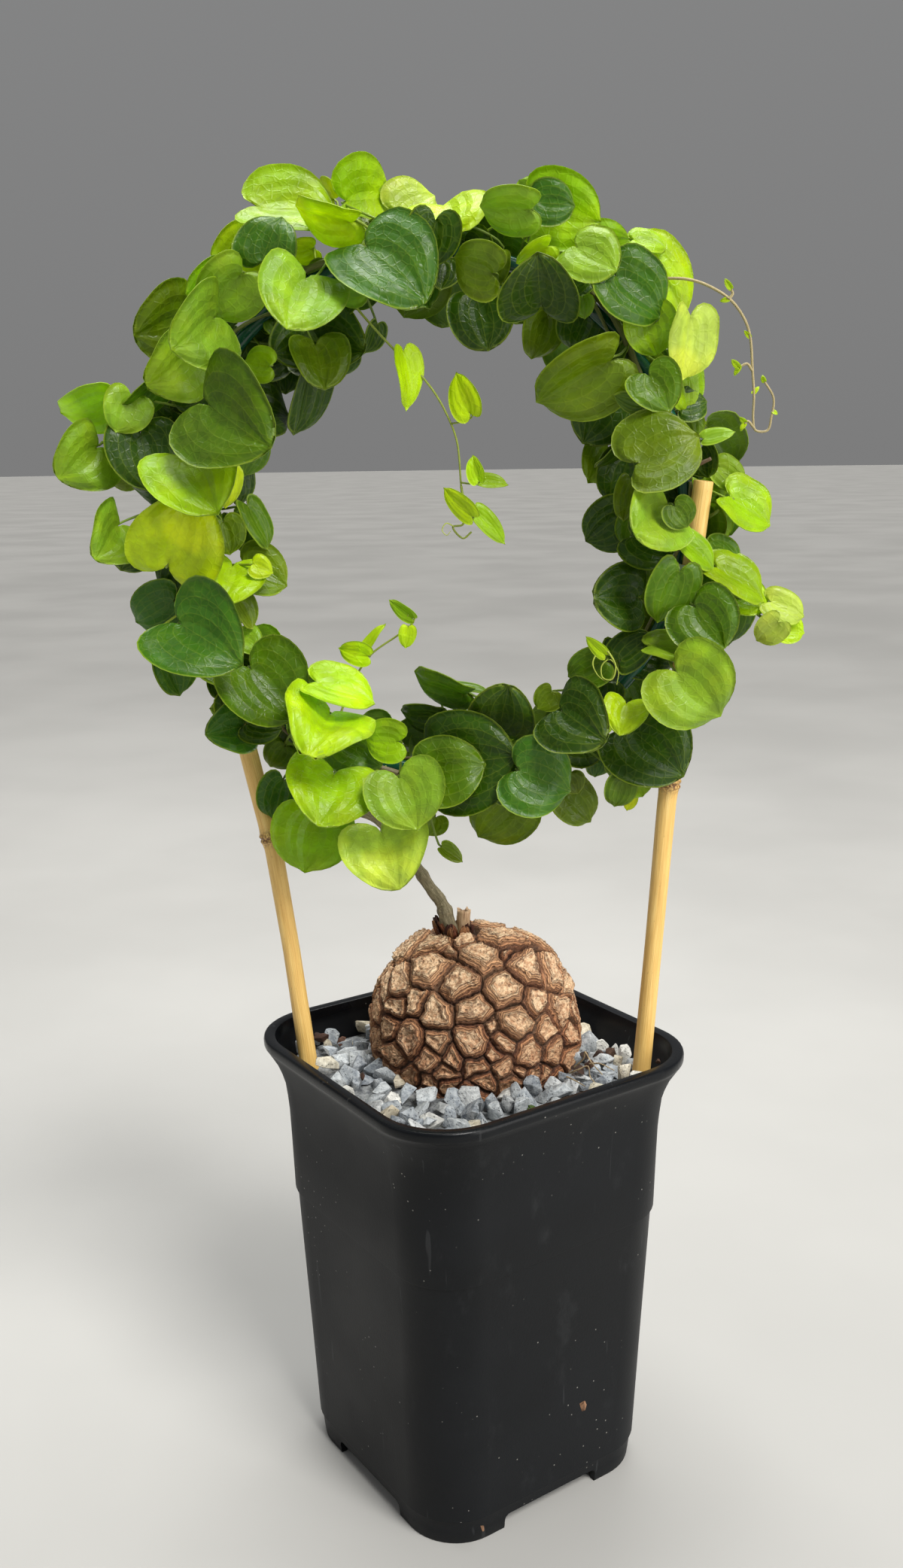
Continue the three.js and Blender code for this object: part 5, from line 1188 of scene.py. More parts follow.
# Leaves that show from the front, as seen against the plane of the hoop: foot x and z, tip x and z,
# width, depth behind the plane, tip nearer (1) or further (-1) than the foot, roll in degrees, colour.
UPPER_LEFT_LEAVES = [
    (-79, 543, -49, 544, 36, 4, -1, 55, LIME), (-83, 531, -97, 522, 24, 10, 1, 20, YELLOW),
    (-79, 524, -72, 541, 24, -6, -1, 20, TEAL), (-88, 519, -103, 503, 26, -22, 1, 15, PALE_AND_SHEEN),
    (-97, 517, -108, 512, 22, 6, 1, 20, LIME), (-100, 503, -112, 491, 33, -16, 1, 35, PALE_AND_SHEEN),
    (-111, 502, -128, 497, 34, 2, 1, 10, OLIVE), (-110, 489, -123, 477, 30, -6, 1, 30, PALE_AND_SHEEN),
    (-64, 495, -74, 489, 22, -4, 1, 10, DARK), (-78, 484, -88.5, 486, 14, -22, 1, 0, LIME),
    (-72, 487, -71, 474, 18, 14, 1, 10, DARK), (-85, 492, -84, 477, 20, 16, 1, 0, DARK),
    (-59, 494, -42, 490, 32, 2, 1, 10, DARK), (-59, 491, -55, 476, 24, 10, 1, 20, OLIVE),
    (-46, 490, -47, 479, 12, 6, 1, 50, DARK), (-34, 499, -38, 487, 11, 4, 1, 40, DARK),
    (-62, 516, -69, 501, 34, -28, 1, 0, PALE_AND_SHEEN), (-59, 528, -69, 525, 13, 0, 1, 30, YELLOW),
    (-44, 538, -66, 540, 28, -14, 1, 55, BRIGHT), (-45, 545, -24, 546, 34, 2, -1, 0, LIME),
    (-50, 546, -58, 551, 14, 10, -1, 20, YELLOW), (-37, 527, -15, 513, 40, -22, 1, 35, TEAL),
    (-38, 514, -50, 523, 22, -16, -1, 10, PALE_AND_SHEEN),
]
LEFT_LEAVES = [
    (-146, 472, -166, 463, 24, -4, 1, 35, LIME), (-136, 472, -142, 460, 20, -12, 1, 10, PALE_AND_SHEEN),
    (-126, 478, -140, 461, 26, -20, 1, 60, MID), (-152, 453, -165, 441, 29, -8, 1, 20, PALE_AND_SHEEN),
    (-133, 458, -129, 437, 30, 4, 1, 10, DARK), (-113, 458, -126, 468, 28, 10, 1, 10, DARK),
    (-137, 446, -151, 441, 20, 12, 1, 30, OLIVE), (-121, 436, -137, 432, 22, 2, 1, 60, DARK),
    (-103, 469, -85, 455, 42, -26, 1, -10, MID), (-115, 447, -104, 431, 36, -28, 1, 10, LIME),
    (-87, 457, -89, 440, 18, 2, 1, 40, MID), (-95, 456, -94, 441, 18, 8, 1, 30, DARK),
    (-97, 442, -96, 428, 14, -12, 1, 50, YELLOW), (-93, 442, -91, 429, 14, -2, 1, 40, DARK),
    (-90, 468, -69, 467, 30, -2, -1, 30, DARK), (-61, 482, -66, 456, 22, 6, 1, 50, DARK),
    (-124, 406, -114, 430, 37, -26, 1, 0, YELLOW), (-145, 421, -151, 409, 27, -12, 1, 35, PALE_AND_SHEEN),
    (-137, 414, -144, 403, 19, 4, 1, 10, DARK), (-108, 426, -107, 412, 14, -4, 1, 20, MID),
    (-100, 422, -97, 409, 15, -10, 1, 10, OLIVE), (-89, 428, -80, 412, 14, -4, 1, 40, MID),
    (-95, 424, -88, 411, 14, 2, 1, 20, MID), (-88, 430, -112, 430, 20, -12, 1, 70, DARK),
    (-97, 404, -101, 393, 27, -26, 1, 0, BRIGHT), (-88, 405, -80, 402, 11, -14, 1, 10, YELLOW),
    (-91, 404, -74, 397, 22, -2, 1, 20, OLIVE),
]
LOWER_LEFT_LEAVES = [
    (-120, 380, -98, 367, 39, -24, 1, 10, TEAL), (-123, 390, -141, 379, 25, -10, 1, 10, TEAL),
    (-112, 394, -127, 386, 18, 0, 1, 30, DARK), (-97, 393, -88, 379, 14, -8, 1, 50, OLIVE),
    (-94, 376, -88, 370, 13, -6, 1, 10, PALE_AND_SHEEN), (-91, 361, -73, 341, 37, -18, 1, 15, MID),
    (-127, 368, -121, 350, 20, -8, 1, 30, TEAL), (-133, 376, -134, 371, 8, -4, 1, 10, YELLOW),
    (-106, 358, -105, 348, 11, 2, 1, 20, DARK), (-96, 337, -108, 334, 23, -14, 1, 0, TEAL),
    (-93, 338, -79, 336, 16, -8, 1, 0, DARK), (-103, 345, -109, 344, 10, 2, 1, 20, OLIVE),
    (-78, 328, -84, 319, 15, 4, 1, 10, OLIVE), (-79, 313, -84, 295, 20, -12, 1, 10, TEAL),
    (-58, 342, -63, 333, 37, -26, 1, 0, BRIGHT), (-62, 355, -38, 350, 24, -10, 1, 50, BRIGHT),
    (-57, 316, -63, 298, 37, -28, 1, 0, LIME), (-53, 330, -38, 322, 24, -14, 1, 10, MID),
    (-66, 297, -71, 273, 35, -16, 1, 0, LIME), (-37, 291, -31, 270, 36, -20, 1, 0, WHITISH_AND_SHEEN),
]
LOWER_LEAVES = [
    (-15, 317, 6, 321, 29, -26, 1, 0, MID), (-9, 321, 19, 325, 42, -12, 1, 0, DARK),
    (-29, 315, -22, 294, 32, -24, 1, 0, PALE_AND_SHEEN), (-29, 331, -44, 332, 18, -22, 1, 10, LIME),
    (-12, 342, -28, 341, 20, 6, 1, 50, DARK), (-3, 351, -8, 342, 14, -2, 1, 20, DARK),
    (-2, 352, -23, 356, 22, -8, 1, 60, MID), (-9, 353, 12, 353, 14, -12, 1, 70, MID),
    (-14, 298, -17, 290, 12, 4, 1, 10, OLIVE), (-11, 286, -6, 297, 11, 6, -1, 10, OLIVE),
    (-11, 285, -2, 279, 8, 0, 1, 20, OLIVE), (14, 338, 17, 352, 28, -8, 1, 0, DARK),
    (22, 319, 44, 310, 31, -24, 1, 0, TEAL), (20, 306, 4, 288, 28, 6, 1, 10, OLIVE),
    (40, 344, 53, 335, 32, -20, 1, 0, DARK), (35, 352, 30, 345, 12, -2, 1, 20, OLIVE),
    (46, 333, 49, 320, 18, 6, 1, 20, DARK), (43, 317, 47, 309, 11, 0, 1, 10, OLIVE),
    (55, 327, 54, 316, 12, 8, 1, 20, TEAL), (41, 311, 53, 297, 20, 4, 1, 10, OLIVE),
    (66, 347, 64, 337, 18, -28, 1, 0, BRIGHT), (57, 344, 53, 333, 12, -20, 1, 30, YELLOW),
    (69, 336, 89, 320, 38, -10, 1, 10, DARK), (66, 325, 60, 316, 14, -4, 1, 20, MID),
    (69, 318, 74, 308, 13, -10, 1, 10, LIME), (65, 315, 62, 303, 13, -6, 1, 10, MID),
    (69, 309, 67, 302, 6, 2, 1, 20, YELLOW), (55, 365, 42, 358, 16, -14, 1, 10, MID),
    (57, 368, 49, 375, 6, -16, 1, 20, YELLOW), (62, 371, 64, 353, 18, 0, 1, 30, DARK),
    (64, 366, 76, 377, 16, -4, 1, 20, DARK),
]
RIGHT_LEAVES = [
    (93, 387, 105, 371, 28, -28, 1, 0, MID), (86, 361, 105, 342, 36, -24, 1, 0, PALE_AND_SHEEN),
    (86, 401, 79, 380, 20, -20, 1, 20, MID), (79, 371, 106, 369, 22, -22, 1, 60, PALE_AND_SHEEN),
    (90, 399, 99, 388, 17, -12, 1, 10, MID), (91, 369, 107, 364, 20, -10, 1, 30, PALE_AND_SHEEN),
    (104, 398, 108, 371, 24, 8, 1, 20, DARK), (69, 391, 55, 391, 27, -12, 1, 0, DARK),
    (73, 403, 74, 396, 9, -8, 1, 20, OLIVE), (80, 425, 71, 419, 30, -22, 1, 0, PALE_AND_SHEEN),
    (68, 415, 84, 408, 21, -16, 1, 10, DARK), (84, 427, 90, 419, 13, -14, 1, 10, MID),
    (88, 413, 101, 403, 14, -16, 1, 45, LIME), (99, 410, 111, 404, 14, -8, 1, 20, MID),
    (102, 402, 122, 392, 20, -12, 1, 45, LIME), (111, 391, 121, 388, 16, -2, 1, 20, YELLOW),
    (123, 389, 137, 384, 14, -6, 1, 20, WHITISH_AND_SHEEN), (126, 381, 118, 373, 13, -10, 1, 10, WHITISH_AND_SHEEN),
    (127, 379, 137, 377, 12, -4, 1, 10, BRIGHT), (93, 440, 103, 429, 20, 12, 1, 20, LIME),
    (101, 442, 111, 434, 13, 6, 1, 20, PALE_AND_SHEEN), (106, 430, 123, 421, 24, -2, 1, 45, LIME),
    (98, 424, 101, 411, 16, 8, 1, 20, LIME), (69, 423, 66, 411, 16, -6, 1, 10, MID),
    (63, 424, 49, 413, 22, 2, 1, 10, DARK), (67, 436, 65, 421, 15, -14, 1, 20, OLIVE),
]
UPPER_RIGHT_LEAVES = [
    (70, 444, 92, 457, 34, -28, 1, 30, OLIVE), (65, 445, 60, 428, 22, -8, 1, 10, DARK),
    (95, 453, 107, 456, 7, -18, 1, 20, PALE_AND_SHEEN), (87, 447, 93, 446, 9, -8, 1, 30, LIME),
    (57, 449, 52, 438, 20, 8, 1, 20, OLIVE), (64, 453, 54, 441, 14, -2, 1, 65, DARK),
    (57, 483, 30, 466, 32, -18, 1, 30, OLIVE), (58, 470, 49, 453, 28, -4, 1, 10, DARK),
    (70, 466, 59, 470, 9, -20, 1, 20, MID), (73, 477, 81, 466, 20, -14, 1, 10, MID),
    (85, 478, 90, 464, 20, 2, 1, 40, LIME), (88, 498, 88, 475, 24, -10, 1, 45, WHITISH_AND_SHEEN),
    (68, 520, 88, 499, 34, -2, 1, 45, BRIGHT), (60, 514, 79, 501, 28, -18, 1, 30, TEAL),
    (47, 507, 48, 499, 9, -14, 1, 0, PALE_AND_SHEEN), (72, 500, 77, 485, 20, 4, 1, 10, LIME),
    (77, 486, 78, 479, 10, -4, 1, 0, DARK), (68, 497, 69, 489, 10, 6, 1, 10, DARK),
    (67, 527, 79, 526, 14, 6, -1, 55, LIME), (86, 521, 81, 519, 9, 2, 1, 20, YELLOW),
]
TOP_LEAVES = [
    (-5, 534, -8, 548, 34, -4, -1, 0, BRIGHT), (-24, 541, -10, 548, 22, 12, -1, 30, WHITISH_AND_SHEEN),
    (-10, 537, -13, 520, 20, -18, 1, 0, DARK), (-24, 526, -17, 515, 16, 0, 1, 20, OLIVE),
    (-21, 515, -13, 506, 20, 6, 1, 20, TEAL), (-7, 521, -8, 512, 14, 4, 1, 10, DARK),
    (12, 517, -4, 522, 22, -22, 1, 20, OLIVE), (6, 507, 10, 489, 26, -6, 1, 0, DARK),
    (31, 505, 29, 521, 29, -16, 1, 10, DARK), (33, 500, 29, 484, 20, 6, 1, 30, OLIVE),
    (26, 540, 7, 540, 20, -20, 1, 30, PALE_AND_SHEEN), (27, 538, 21, 551, 20, -2, -1, 30, LIME),
    (30, 542, 44, 541, 17, -10, -1, 10, TEAL), (30, 541, 54, 534, 30, 6, -1, 0, LIME),
    (48, 523, 66, 528, 22, 0, -1, 0, LIME), (45, 525, 59, 519, 24, -18, 1, 30, PALE_AND_SHEEN),
    (33, 526, 22, 519, 12, -18, 1, 30, BRIGHT),
]
HANGING_LEAVES = [
    (-24, 488, -20, 466, 16, -10, 1, 45, BRIGHT), (3, 464, -4, 480, 14, -8, -1, 20, BRIGHT),
    (6, 438, 3, 448, 8, -8, 1, 20, BRIGHT), (6, 438, 18, 437, 7, -4, 1, 30, LIME),
    (3, 424, -9, 435, 10, -10, 1, 20, BRIGHT), (5, 426, 17, 413, 9, -6, 1, 20, LIME),
]
LOWER_LEAVES_YOUNG = [
    (-41, 367, -54, 370, 11, -3, 1, 10, BRIGHT), (-42, 370, -34, 381, 6, 1, 1, 40, YELLOW),
    (-22, 383, -32, 390, 7, -2, 1, 30, LIME), (-24, 379, -25, 370, 8, -3, 1, 10, BRIGHT),
]
FRONT_LEAVES = (UPPER_LEFT_LEAVES + LEFT_LEAVES + LOWER_LEFT_LEAVES + LOWER_LEAVES + RIGHT_LEAVES
                + UPPER_RIGHT_LEAVES + TOP_LEAVES)
NUDGES = [0, -3, 3, -6, 6, -9, 9, -12, 12, -16, 16]
FILLING_LEAVES = 104
STALK_SLIDES = [0, 4, -4, 8, -8, 13, -13, 18, -18]


class Leaf:
    """A leaf's place: its foot at the notch, its own axes, its length and its width."""

    def __init__(self, foot, along, across, face, length, width):
        self.foot, self.along, self.across, self.face = foot, along, across, face
        self.length, self.width = length, width

    def at(self, u, v, lift=0.0):
        """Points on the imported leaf's cupped form."""
        return self.over(u, v, self.width / 2 * (CUP * np.abs(u) - DROOP * np.square(v)) + lift)

    def over(self, u, v, rise):
        parts = [np.atleast_1d(part)[:, None] for part in np.broadcast_arrays(u, v, rise)]
        return (self.foot + parts[0] * self.across * self.width / 2
                + parts[1] * self.along * self.length / TIP_ALONG + parts[2] * self.face)


def turned(along, facing, roll):
    face = unit(facing - along * along.dot(facing))
    across = np.cross(along, face)
    c, s = math.cos(roll), math.sin(roll)
    return across * c + face * s, face * c - across * s


def seen(x, z, depth):
    part = (depth - EYE[1]) / -EYE[1]
    return np.array([EYE[0] + (x - EYE[0]) * part, depth, EYE[2] + (z - EYE[2]) * part])


def listed_leaf(row, nudge=0):
    foot_x, foot_z, tip_x, tip_z, width, depth, lean, roll = row[:8]
    foot = seen(foot_x, foot_z, depth + nudge)
    apart = math.hypot(tip_x - foot_x, tip_z - foot_z)
    drop = math.sqrt(max(0, (0.5 * TIP_ALONG * width) ** 2 - apart ** 2))
    tip = seen(tip_x, tip_z, depth + nudge - lean * drop)
    along = unit(tip - foot)
    across, face = turned(along, unit(EYE - foot), math.radians(roll))
    return Leaf(foot, along, across, face, np.linalg.norm(tip - foot), width)


def back_leaves():
    """The leaves on the far side: functions that give each one at a nudge."""
    draw = random_from(5)
    made = []
    for i in range(BACK_LEAVES):
        angle = TAU * (i + 0.6 * draw()) / BACK_LEAVES
        outward = np.array([math.cos(angle), 0, math.sin(angle)])
        foot = HOOP_CENTRE + outward * (HOOP_RADIUS - 10 + 26 * draw())
        foot[1] = 12 + 10 * draw()
        along = unit(outward * 0.5 + [0.7 * (draw() - 0.5), 0.25 + 0.4 * draw(), -0.9])
        facing = np.array([0.5 * outward[0], 1, 0.5 * outward[2] + 0.35])
        width = 19 + 13 * draw()
        across, face = turned(along, facing, math.radians(50 * (draw() - 0.5)))
        made.append(lambda nudge, a=foot, b=along, c=across, d=face, w=width:
                    Leaf(a + [0, abs(nudge), 0], b, c, d, 0.75 * w, w))
    return made


class PackedVine:
    """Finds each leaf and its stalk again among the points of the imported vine."""

    def __init__(self):
        places = []
        self.owner = []
        for number in range(1, STRETCHES + 1):
            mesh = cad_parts[f"vine_stretch_{number}"].data
            flat = np.empty(3 * len(mesh.vertices))
            mesh.vertices.foreach_get("co", flat)
            places.append(flat.reshape(-1, 3) * 1000 - [AXIS_X, 0, 0])
            self.owner.extend([STRETCHES - number] * len(places[-1]))
        self.tree = kdtree.KDTree(len(self.owner))
        for index, place in enumerate(np.vstack(places)):
            self.tree.insert(place, index)
        self.tree.balance()

    def leaf(self, at_nudge):
        """The leaf where it was packed, and the number of its stretch, or nothing if it wasn't."""
        best = (0.45, None, None)
        for nudge in NUDGES:
            leaf = at_nudge(nudge)
            edge = BROAD_EDGE if leaf.width >= 31 else PLAIN_EDGE if leaf.width >= 17 else YOUNG_EDGE
            u = np.array([side * x for x, _ in edge for side in (1, -1)] + [0])
            v = np.array([y for _, y in edge for _ in range(2)] + [TIP_ALONG])
            hits = []
            for lift in (-PACKED_HALF, PACKED_HALF):
                for point in leaf.at(u, v, lift):
                    _, index, apart = self.tree.find(point)
                    if apart < 0.02:
                        hits.append(self.owner[index])
            share = len(hits) / (2 * len(u))
            if share > best[0]:
                best = (share, leaf, max(set(hits), key=hits.count))
        return best[1:]

    def rings(self, leaf, route):
        """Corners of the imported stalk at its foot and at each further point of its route."""
        half = 2 * STALK_RADIUS / leaf.width
        foot = ((0, PACKED_HALF), (half, -PACKED_HALF), (-half, -PACKED_HALF))
        rings = [np.vstack([leaf.at(u, 0, lift) for u, lift in foot])]
        heading = Vector(-leaf.along)
        swing = Matrix.Identity(3)
        for before, point in zip(route, route[1:]):
            direction = Vector(unit(point - before))
            swing = heading.rotation_difference(direction).to_matrix() @ swing
            heading = direction
            turns = [leaf.face * math.cos(t) + leaf.across * math.sin(t) for t in (0, TAU / 3, 2 * TAU / 3)]
            rings.append(np.array([point + STALK_RADIUS * np.array(swing @ Vector(turn)) for turn in turns]))
        return rings

    def fits(self, leaf, route):
        rings = self.rings(leaf, route)
        if len(route) == 3:
            return sum(self.tree.find(corner)[2] < 0.04 for corner in rings[1]) >= 2
        near = [np.array(place) for place, _, _ in self.tree.find_range(route[-1], 4.0)]
        found = 0
        for start, end in zip(rings[0], rings[1]):
            along = unit(end - start)
            found += any(np.linalg.norm(np.cross(place - start, along)) < 0.03 for place in near)
        return found >= 2

    def route(self, leaf, stretch, shoots):
        own, home = stretch_of(leaf.foot)
        if abs(own - stretch) == STRETCHES - 1:
            home += math.copysign(TAU, stretch - own)
        start = STRETCH_START + stretch * STRETCH_ANGLE
        for slide in STALK_SLIDES:
            angle = min(max(home + math.radians(slide), start + 0.02), start + STRETCH_ANGLE - 0.02)
            target = vine_point(angle)
            radial = math.hypot(leaf.foot[0] - HOOP_CENTRE[0], leaf.foot[2] - HOOP_CENTRE[2]) - HOOP_RADIUS
            leaf_turn = math.atan2(leaf.foot[1], radial)
            apart = vine_turn(angle) - leaf_turn
            between = math.atan2(math.sin(apart), math.cos(apart))
            for turn in (None, leaf_turn + between / 2, leaf_turn + between / 2 + math.pi):
                route = [leaf.foot, target]
                if turn is not None:
                    route.insert(1, beside_hoop(angle, 6.5, turn))
                if self.fits(leaf, route):
                    return route
        paths = [path for number, path in shoots if number == stretch]
        if paths:
            ends = np.vstack(paths)
            near = ends[np.argmin(np.linalg.norm(ends - leaf.foot, axis=1))]
            if np.linalg.norm(near - leaf.foot) < 28:
                return [leaf.foot, near]
        return [leaf.foot, vine_point(min(max(home, start + 0.02), start + STRETCH_ANGLE - 0.02))]


def edge_of(outline):
    flat = spline([(u, v, 0) for u, v in outline], EDGE_STEPS + 1)[:, :2]
    flat[0], flat[-1] = (0, 0), (0, TIP_ALONG)
    return flat


def blade(skin, leaf, outline, draw, tone, curl=0.0, thick=0.3):
    """A thin closed blade whose rows fan out from the rib to the edge on both sides."""
    edge = edge_of(outline)
    rib = TIP_ALONG * (np.arange(EDGE_STEPS + 1) / EDGE_STEPS) ** 1.3
    wave, phase, lobes = draw.uniform(0.02, 0.07), draw.uniform(0, TAU), draw.integers(2, 5)
    wider = 1 + draw.uniform(-0.05, 0.05, 2)
    twist = draw.uniform(-0.13, 0.13)
    cup, nod, roll_back = CUP * draw.uniform(0.6, 1.3), draw.uniform(0.0, 0.34), draw.uniform(0.0, 0.14)
    rows = [(0.0, 0.0, 0.0, 0.0)]
    for i in range(1, EDGE_STEPS):
        reach = math.dist(edge[i], (0, rib[i]))
        line = [(0.0, rib[i], 0.0, reach)]
        for s in COLUMNS:
            for side, scale in zip((1, -1), wider):
                u = side * s * edge[i][0] * scale
                line.append((u, rib[i] * (1 - s) + edge[i][1] * s, side * s, reach))
        line.sort(key=lambda point: point[2])
        rows.extend(line)
    rows.append((0.0, TIP_ALONG, 0.0, 0.0))
    u, v, s, reach = np.array(rows).T
    half = leaf.width / 2
    around = np.arctan2(u, v - 0.5)
    rise = cup * (0.5 * np.abs(u) + 0.5 * u ** 2) - DROOP * v ** 2 + twist * u * v
    rise += wave * np.sin(lobes * around + phase) * s ** 2 - nod * smoothstep(0.85, 1.5, v) ** 2
    rise += (curl - roll_back) * smoothstep(0.6, 1, np.abs(s)) ** 2
    rise += 0.05 * np.sin(np.abs(s) * math.pi) * (reach > 0) + 0.1 * (smoothstep(0.25, 0, v) * np.abs(s))
    wide = 2 * len(COLUMNS) + 1
    count = len(rows)
    points = np.vstack([leaf.over(u, v, half * rise - thick / 2), leaf.over(u, v, half * rise + thick / 2)])
    upper = []
    for i in range(EDGE_STEPS - 2):
        for j in range(wide - 1):
            here = 1 + i * wide + j
            upper.append([here, here + 1, here + 1 + wide, here + wide])
    last = 1 + (EDGE_STEPS - 2) * wide
    for j in range(wide - 1):
        upper.append([0, 2 + j, 1 + j])
        upper.append([last + j, last + j + 1, count - 1])
    loop = [0] + [1 + i * wide + wide - 1 for i in range(EDGE_STEPS - 1)] + [count - 1]
    loop += [1 + i * wide for i in reversed(range(EDGE_STEPS - 1))]
    faces = [[index + count for index in reversed(face)] for face in upper] + upper
    for here, following in zip(loop, loop[1:] + loop[:1]):
        faces.append([here, following, following + count, here + count])
    under = np.concatenate([np.ones(count), np.zeros(count)])
    vein = np.column_stack([s, v, reach * half])
    flat = np.column_stack([u * half, v * half, np.full(count, draw.uniform(0, 60))])
    skin.add(points, faces, tone=tone, under=under, vein=np.tile(vein, (2, 1)), flat=np.tile(flat, (2, 1)))


def stalk(skin, leaf, route, tone, radius=0.55):
    """A leaf stalk from just inside the blade, with a slight sag."""
    start = leaf.over(0, 0.1, -0.2)[0]
    notch = leaf.over(0, -0.1, -0.9)[0]
    path = [start, notch] + [np.array(point) for point in route[1:]]
    if len(route) == 2:
        span = np.linalg.norm(path[-1] - notch)
        path.insert(2, (notch + path[-1]) / 2 - np.array([0, 0, 0.07 * span]))
    line = spline(path, 12)
    skin.bar(line, radius * np.array([0.75] + [0.9] * 2 + [0.95] * 8 + [1.35]), 7, tone)


def filling_leaves(draw):
    """Smaller leaves in the shade between the others, with the number of their stretch."""
    made = []
    for i in range(FILLING_LEAVES):
        past = TAU * (i + draw.uniform(0, 0.9)) / FILLING_LEAVES
        angle = STRETCH_START + past
        outward = np.array([math.cos(angle), 0, math.sin(angle)])
        front = i % 3 != 2
        foot = HOOP_CENTRE + outward * (HOOP_RADIUS + draw.uniform(-9, 9))
        foot[1] = draw.uniform(-3, 9) if front else draw.uniform(10, 19)
        way = draw.uniform(0, TAU)
        along = unit(np.array([math.cos(way), draw.uniform(-0.3, 0.3), math.sin(way) - 0.7]))
        facing = unit(np.array([draw.uniform(-0.5, 0.5), -1.0 if front else 1.0, draw.uniform(0, 0.7)]))
        across, face = turned(along, facing, draw.uniform(-0.3, 0.3))
        width = draw.uniform(14, 25)
        made.append((Leaf(foot, along, across, face, 0.75 * width, width), int(past / STRETCH_ANGLE)))
    return made


def leaf_tone(tone, draw):
    shade = colour(*tone) * draw.uniform(0.88, 1.12) * [draw.uniform(0.93, 1.07), 1, draw.uniform(0.8, 1.2)]
    return np.clip(shade, 0, 1)


STALK_GREEN = colour(118, 142, 44)
VINE_BROWN = colour(104, 90, 58)
VINE_GREEN = colour(112, 128, 52)


def vine_line(stretch):
    """The stretch's main stem, a thinner one that winds across it, and their colours."""
    start = STRETCH_START + stretch * STRETCH_ANGLE
    angles = np.linspace(start + 0.0024, start + STRETCH_ANGLE - 0.0024, VINE_STEPS)
    main = np.array([vine_point(angle) for angle in angles])
    thin = np.array([beside_hoop(a, vine_distance(a) - 0.55, vine_turn(a) + 1.9 + 3.2 * (a - STRETCH_START))
                     for a in angles])
    part = (stretch + np.linspace(0, 1, VINE_STEPS)) / STRETCHES
    return main, thin, part


def make_vine():
    packed = PackedVine()
    draw = np.random.default_rng(17)
    shoots = [(number, spline([vine_point(stretch_of(path[0])[1])] + path, SHOOT_STEPS))
              for number, path in SIDE_SHOOTS]
    leaves, stems = ([Skin() for _ in range(STRETCHES)] for _ in range(2))
    listed = [(lambda nudge, row=row: listed_leaf(row, nudge), row[8]) for row in FRONT_LEAVES]
    behind = [(maker, (MID, OLIVE, DARK, LIME)[i % 4]) for i, maker in enumerate(back_leaves())]
    for maker, tone in listed + behind:
        leaf, stretch = packed.leaf(maker)
        if leaf is None:
            continue
        outline = YOUNG_OUTLINE if leaf.width < 12 else LEAF_OUTLINE
        curl = draw.uniform(-0.07, 0.03)
        shade = leaf_tone(tone, draw)
        blade(leaves[stretch], leaf, outline, draw, shade, curl)
        stalk(stems[stretch], leaf, packed.route(leaf, stretch, shoots), STALK_GREEN * 0.7 + shade * 0.3)
    for i, (leaf, stretch) in enumerate(filling_leaves(draw)):
        shade = leaf_tone((DARK, MID, OLIVE, DARK)[i % 4], draw)
        blade(leaves[stretch], leaf, LEAF_OUTLINE, draw, shade, draw.uniform(-0.07, 0.03))
        angle = stretch_of(leaf.foot)[1]
        stalk(stems[stretch], leaf, [leaf.foot, vine_point(angle)], STALK_GREEN)
    for stretch in range(STRETCHES):
        main, thin, part = vine_line(stretch)
        for path, radius in ((main, 1.35), (thin, 0.75)):
            wobble = 1 + 0.08 * np.sin(np.arange(VINE_STEPS) * 0.9 + stretch)
            points, faces, grain = tube(path, radius * wobble, 10)
            mix = np.repeat(part, 10)[:, None]
            grain[:, 2] += 80 * stretch
            stems[stretch].add(points, faces, tone=VINE_BROWN * (1 - mix) + VINE_GREEN * mix, grain=grain)
        for number, path in shoots:
            if number == stretch:
                stems[stretch].bar(path, np.linspace(0.95, 0.6, SHOOT_STEPS), 8, STALK_GREEN)
        node = f"vine_stretch_{STRETCHES - stretch}"
        leaves[stretch].piece(f"vine_leaves_{STRETCHES - stretch}", "leaf", LEAF, node)
        stems[stretch].piece(f"vine_stems_{STRETCHES - stretch}", "stem_wood", STEM, node)


# Young shoots

HANGING_STEM = [
    (-47.2, -5.5, 521), (-46.5, -6, 516), (-45.3, -6, 511), (-24.8, -6, 487.2), (-19.2, -6, 482.3),
    (-11, -6, 472.7), (-5.2, -6, 462.3), (-2, -6, 453.3), (-0.5, -6, 436),
]
HANGING_TIP = [
    (-0.5, -6, 436), (0.5, -6, 428), (0, -6, 421), (-4, -6, 420), (0, -6, 415.5), (3.5, -6, 418),
]
LOWER_STEM = [
    (-56.4, -4.2, 332.6), (-53, -3.5, 342), (-49, -1.5, 353), (-45.9, 0, 359.1), (-39.6, 0, 367.7),
    (-28.1, 0, 375.8), (-23, 0, 379.5),
]
TENDRIL_STEM = [
    (79, 2, 513.5), (86.6, 0, 512.8), (93.8, 0, 510.7), (103.1, 0, 505.2), (108.4, 0, 498.8),
    (111.2, 0, 492.1), (112.8, 0, 478.1), (113.6, 0, 469), (113.6, 0, 460), (114.6, 0, 456),
    (119.2, 0, 455.9), (120.5, 0, 460.7), (121.1, 0, 468.1), (117.5, 0, 474.3),
]
TENDRIL_BUDS = [
    [(103.1, 0, 505.2), (104.3, 0, 507), (103.6, 0, 509)],
    [(112.7, 0, 478.5), (110.6, 0, 481), (107.5, 0, 479.8)],
    [(114, 0, 457), (111.5, 0, 459.5), (110.5, 0, 458.5)],
]
